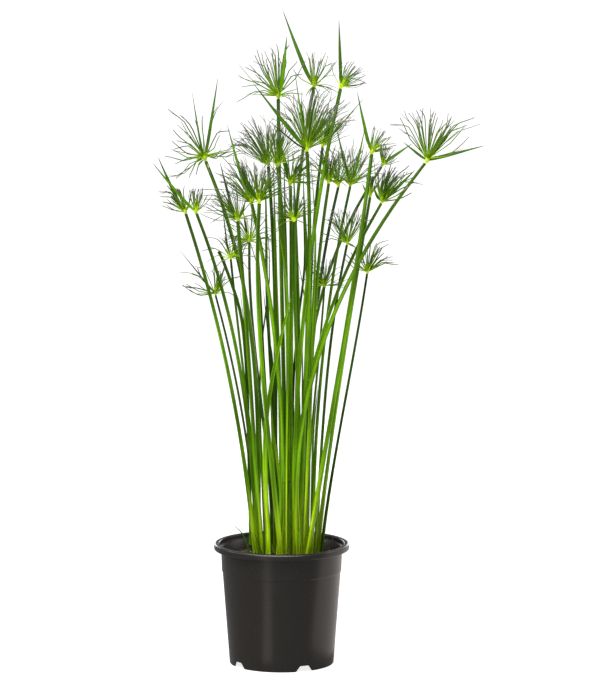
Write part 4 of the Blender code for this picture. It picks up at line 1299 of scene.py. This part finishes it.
# %% Clinging leaves
CLINGING_LEAVES = (
    ([(-21, -34, 131), (-24, -32, 251), (-27, -30, 339), (-25, -28, 402), (-20, -26, 446), (-15, -24, 489),
      (-16, -22, 539), (-23, -20, 573)], 1.1, 0.0),
    ([(-1, 12, 131), (-4, 11, 218), (-8, 10, 282), (-11, 9, 333), (-12, 8, 382), (-17, 7, 420),
      (-23, 5, 476)], 2.5, 0.10),
    ([(-3, -47, 131), (-3, -47, 150), (-2, -46, 184), (-1, -45, 222), (-3, -44, 247), (-8, -42, 284),
      (-11, -41, 310), (-14, -40, 360)], 2.1, 0.85),
    ([(6, -42, 131), (6, -45, 215), (7, -48, 317), (8, -51, 405), (7, -53, 468), (3, -56, 520),
      (-3, -59, 555), (-7, -62, 609)], 1.1, 1.0),
    ([(21, 22, 131), (24, 21, 255), (29, 21, 344), (31, 20, 420), (28, 19, 467), (19, 18, 518)], 1.4, 0.25),
    ([(-1, -5, 131), (-1, -2, 233), (-2, 1, 334), (-5, 4, 423), (-7, 6, 489), (-8, 9, 535), (-9, 12, 585),
      (-10, 15, 648)], 2.4, 0.55),
    ([(9, 25, 131), (9, 26, 228), (9, 28, 330), (8, 29, 419), (6, 31, 474), (5, 32, 532), (4, 34, 583),
      (3, 35, 643)], 2.6, 0.15),
    ([(12, -8, 131), (16, -6, 234), (19, -4, 335), (21, -2, 424), (20, -1, 486), (18, 1, 549), (16, 3, 599),
      (14, 5, 649)], 2.6, 0.60),
    ([(19, 5, 131), (24, 1, 245), (29, -2, 348), (32, -6, 424), (32, -9, 491), (31, -13, 538),
      (28, -16, 589), (27, -20, 639)], 2.5, 0.40),
    ([(-5, 8, 131), (-10, 11, 256), (-13, 14, 358), (-17, 17, 433), (-19, 21, 496), (-19, 24, 546),
      (-20, 27, 596), (-21, 30, 646)], 2.2, 0.30),
    ([(27, -30, 131), (32, -33, 251), (36, -36, 340), (37, -39, 416), (41, -43, 496), (42, -46, 563),
      (36, -52, 647)], 2.1, 0.75),
    ([(37, 20, 131), (38, 22, 215), (40, 23, 288), (46, 25, 350)], 1.6, 0.4),
    ([(21, 25, 131), (23, 26, 228), (26, 28, 305), (26, 30, 434)], 1.8, 0.35),
    ([(-25, -5, 131), (-28, -7, 209), (-34, -9, 298), (-40, -11, 374), (-53, -15, 488)], 1.4, 0.2),
    ([(-20, -25, 131), (-23, -24, 212), (-26, -23, 275), (-30, -22, 325)], 1.6, 0.7),
)
DARK_BLADES = (
    ([(-38, -38, 131), (-42, -35, 153), (-47, -33, 167), (-55, -31, 177), (-64, -30, 184)], 1.2, 0.25),
    ([(-24, -44, 131), (-25, -43, 148), (-29, -42, 160), (-35, -42, 175)], 0.9, 0.15),
    ([(-30, -44, 131), (-33, -44, 150), (-36, -45, 168), (-43, -46, 189)], 0.6, 0.10),
)
LONG_OUTLINE = (0.9, 1.0, 1.0, 0.95, 0.85, 0.7, 0.4, 0.03)

clinging = new_growth()
for leaf in CLINGING_LEAVES:
    lay_leaf(clinging, leaf, LONG_OUTLINE, (0.2, -1, 0.1), (0.0, 0.75))
for leaf in DARK_BLADES:
    lay_leaf(clinging, leaf, SHORT_OUTLINE, (0.3, -1, 0.1), (0.7, 1.0))
finish_piece("clinging_leaves", clinging, [culm_skin])
print(len(CLINGING_LEAVES), "leaves cling to the culms, and", len(DARK_BLADES), "blades are dark")

# %% [markdown]
# The stage is a wide white floor, dimmer in reflections, so that the pot's wall stays dark. The
# world gives little light too, and is white only where the camera looks straight at it. A wide
# sun from the upper left models the culms, and large panels above, in front, at the sides and
# behind fill the shadows. Two cards stand close to the pot, a narrow one to the left of the
# camera's side and a broad one at the right: each mirrors as one of the two upright bands that
# the photograph shows on the wall. A card high in front draws the light line along the lip.

# %% Floor
FLOOR_SIZE = 80
FLOOR_GAP = 0.05 * MM
FLOOR_GREYS = (0.44, 0.44, 0.44, 1), (0.46, 0.46, 0.46, 1)
FLOOR_IN_REFLECTIONS = (0.10, 0.10, 0.10, 1)
FLOOR_GLOW = 0.82
GLOW_IN_REFLECTIONS = 0.16

floor_paint, tree, shader = start_material("floor_white", 0.9, specular=0.1)
shade = remap(tree, cloudiness(tree, object_place(tree), 3.0, 2.0), 0.3, 0.7, 0.0, 1.0)
paint = blend_colours(tree, shade, *FLOOR_GREYS)
glossy = put(tree, "ShaderNodeLightPath").outputs["Is Glossy Ray"]
tree.links.new(blend_colours(tree, glossy, paint, FLOOR_IN_REFLECTIONS), shader.inputs["Base Color"])
shader.inputs["Emission Color"].default_value = WHITE
glow = remap(tree, glossy, 0.0, 1.0, FLOOR_GLOW, GLOW_IN_REFLECTIONS)
tree.links.new(glow, shader.inputs["Emission Strength"])
floor_bm = bmesh.new()
bmesh.ops.create_grid(floor_bm, x_segments=1, y_segments=1, size=FLOOR_SIZE / 2,
                      matrix=Matrix.Translation((0, 0, -FLOOR_GAP)))
floor_mesh = bpy.data.meshes.new("floor")
floor_bm.to_mesh(floor_mesh)
floor_bm.free()
floor_mesh.materials.append(floor_paint)
floor = bpy.data.objects.new("floor", floor_mesh)
bpy.context.scene.collection.objects.link(floor)
print("floor is", FLOOR_SIZE, "m wide")

# %% Lights
WORLD_STRENGTH = 0.16
WORLD_IN_REFLECTIONS = 0.3
WORLD_SEEN = 1.1
SUN_STRENGTH = 2.0
SUN_WIDTH = math.radians(40)
SUN_PLACE = (-1.6, -1.0, 3.0)
PLANT_MIDDLE = (0, 0, 0.3)
PANELS = (
    ((-0.2, 0.1, 2.2), 1.1, 10),
    ((-0.1, -1.3, 1.9), 0.8, 9),
    ((-1.5, 0.3, 1.1), 0.7, 5), ((1.5, 0.3, 1.1), 0.7, 5),
    ((-0.65, 1.9, 0.45), 0.7, 7), ((0.65, 1.9, 0.45), 0.7, 7),
)
CARD_HEIGHT = 0.24
CARD_FOOT = 0.10
CARD_LEAN = 0.5
CARDS = ((-21, 0.026, 0.016), (101, 0.23, 0.14))
CARD_COLOUR = (1.0, 0.90, 0.84)
LIP_CARD_PLACE = (-0.1, -1.6, 1.3)
LIP_CARD_TARGET = (0, 0, 0.15)
LIP_CARD_SIZE = (2.4, 0.9)
LIP_CARD_POWER = 70


def aim(thing, spot):
    """Turn a light so that it shines at a spot."""
    thing.rotation_euler = (Vector(spot) - thing.location).to_track_quat("-Z", "Y").to_euler()


world = bpy.data.worlds.new("studio")
bpy.context.scene.world = world
world.use_nodes = True
tree = world.node_tree
tree.nodes["Background"].inputs["Color"].default_value = WHITE
paths = put(tree, "ShaderNodeLightPath")
strength = remap(tree, paths.outputs["Is Glossy Ray"], 0.0, 1.0, WORLD_STRENGTH, WORLD_IN_REFLECTIONS)
seen = calculate(tree, "MULTIPLY", paths.outputs["Is Camera Ray"], WORLD_SEEN - WORLD_STRENGTH)
strength = calculate(tree, "ADD", strength, seen)
tree.links.new(strength, tree.nodes["Background"].inputs["Strength"])

sun_data = bpy.data.lights.new("sun", "SUN")
sun_data.energy = SUN_STRENGTH
sun_data.angle = SUN_WIDTH
sun = bpy.data.objects.new("sun", sun_data)
sun.location = SUN_PLACE
aim(sun, PLANT_MIDDLE)
bpy.context.scene.collection.objects.link(sun)


def add_area_light(name, place, target, size, power, colour=(1, 1, 1)):
    """A rectangle of light that the camera itself doesn't see."""
    light = bpy.data.lights.new(name, "AREA")
    light.shape = "RECTANGLE"
    light.size, light.size_y = size
    light.energy = power
    light.color = colour
    thing = bpy.data.objects.new(name, light)
    thing.location = place
    aim(thing, target)
    thing.visible_camera = False
    bpy.context.scene.collection.objects.link(thing)
    return thing


for number, (place, size, power) in enumerate(PANELS):
    add_area_light(f"panel_{number}", place, PLANT_MIDDLE, (size, size), power)
lip_card = add_area_light("lip_card", LIP_CARD_PLACE, LIP_CARD_TARGET, LIP_CARD_SIZE, LIP_CARD_POWER)
lip_card.visible_diffuse = False
for number, (azimuth, width, power) in enumerate(CARDS):
    angle = math.radians(azimuth)
    outward = Vector((math.sin(angle), -math.cos(angle), 0))
    place = outward * (CARD_FOOT + CARD_HEIGHT * CARD_LEAN / 2) + UP * CARD_HEIGHT / 2
    target = place - outward + UP * CARD_LEAN
    size = (width, CARD_HEIGHT * math.hypot(1, CARD_LEAN))
    add_area_light(f"card_{number}", place, target, size, power, CARD_COLOUR)
print("lights: one sun,", len(PANELS), "panels and", len(CARDS) + 1, "cards")

# %% [markdown]
# The last step prints how many triangles the pieces have in all.

# %% Triangles in all
print("triangles in all:", sum(triangle_counts.values()))
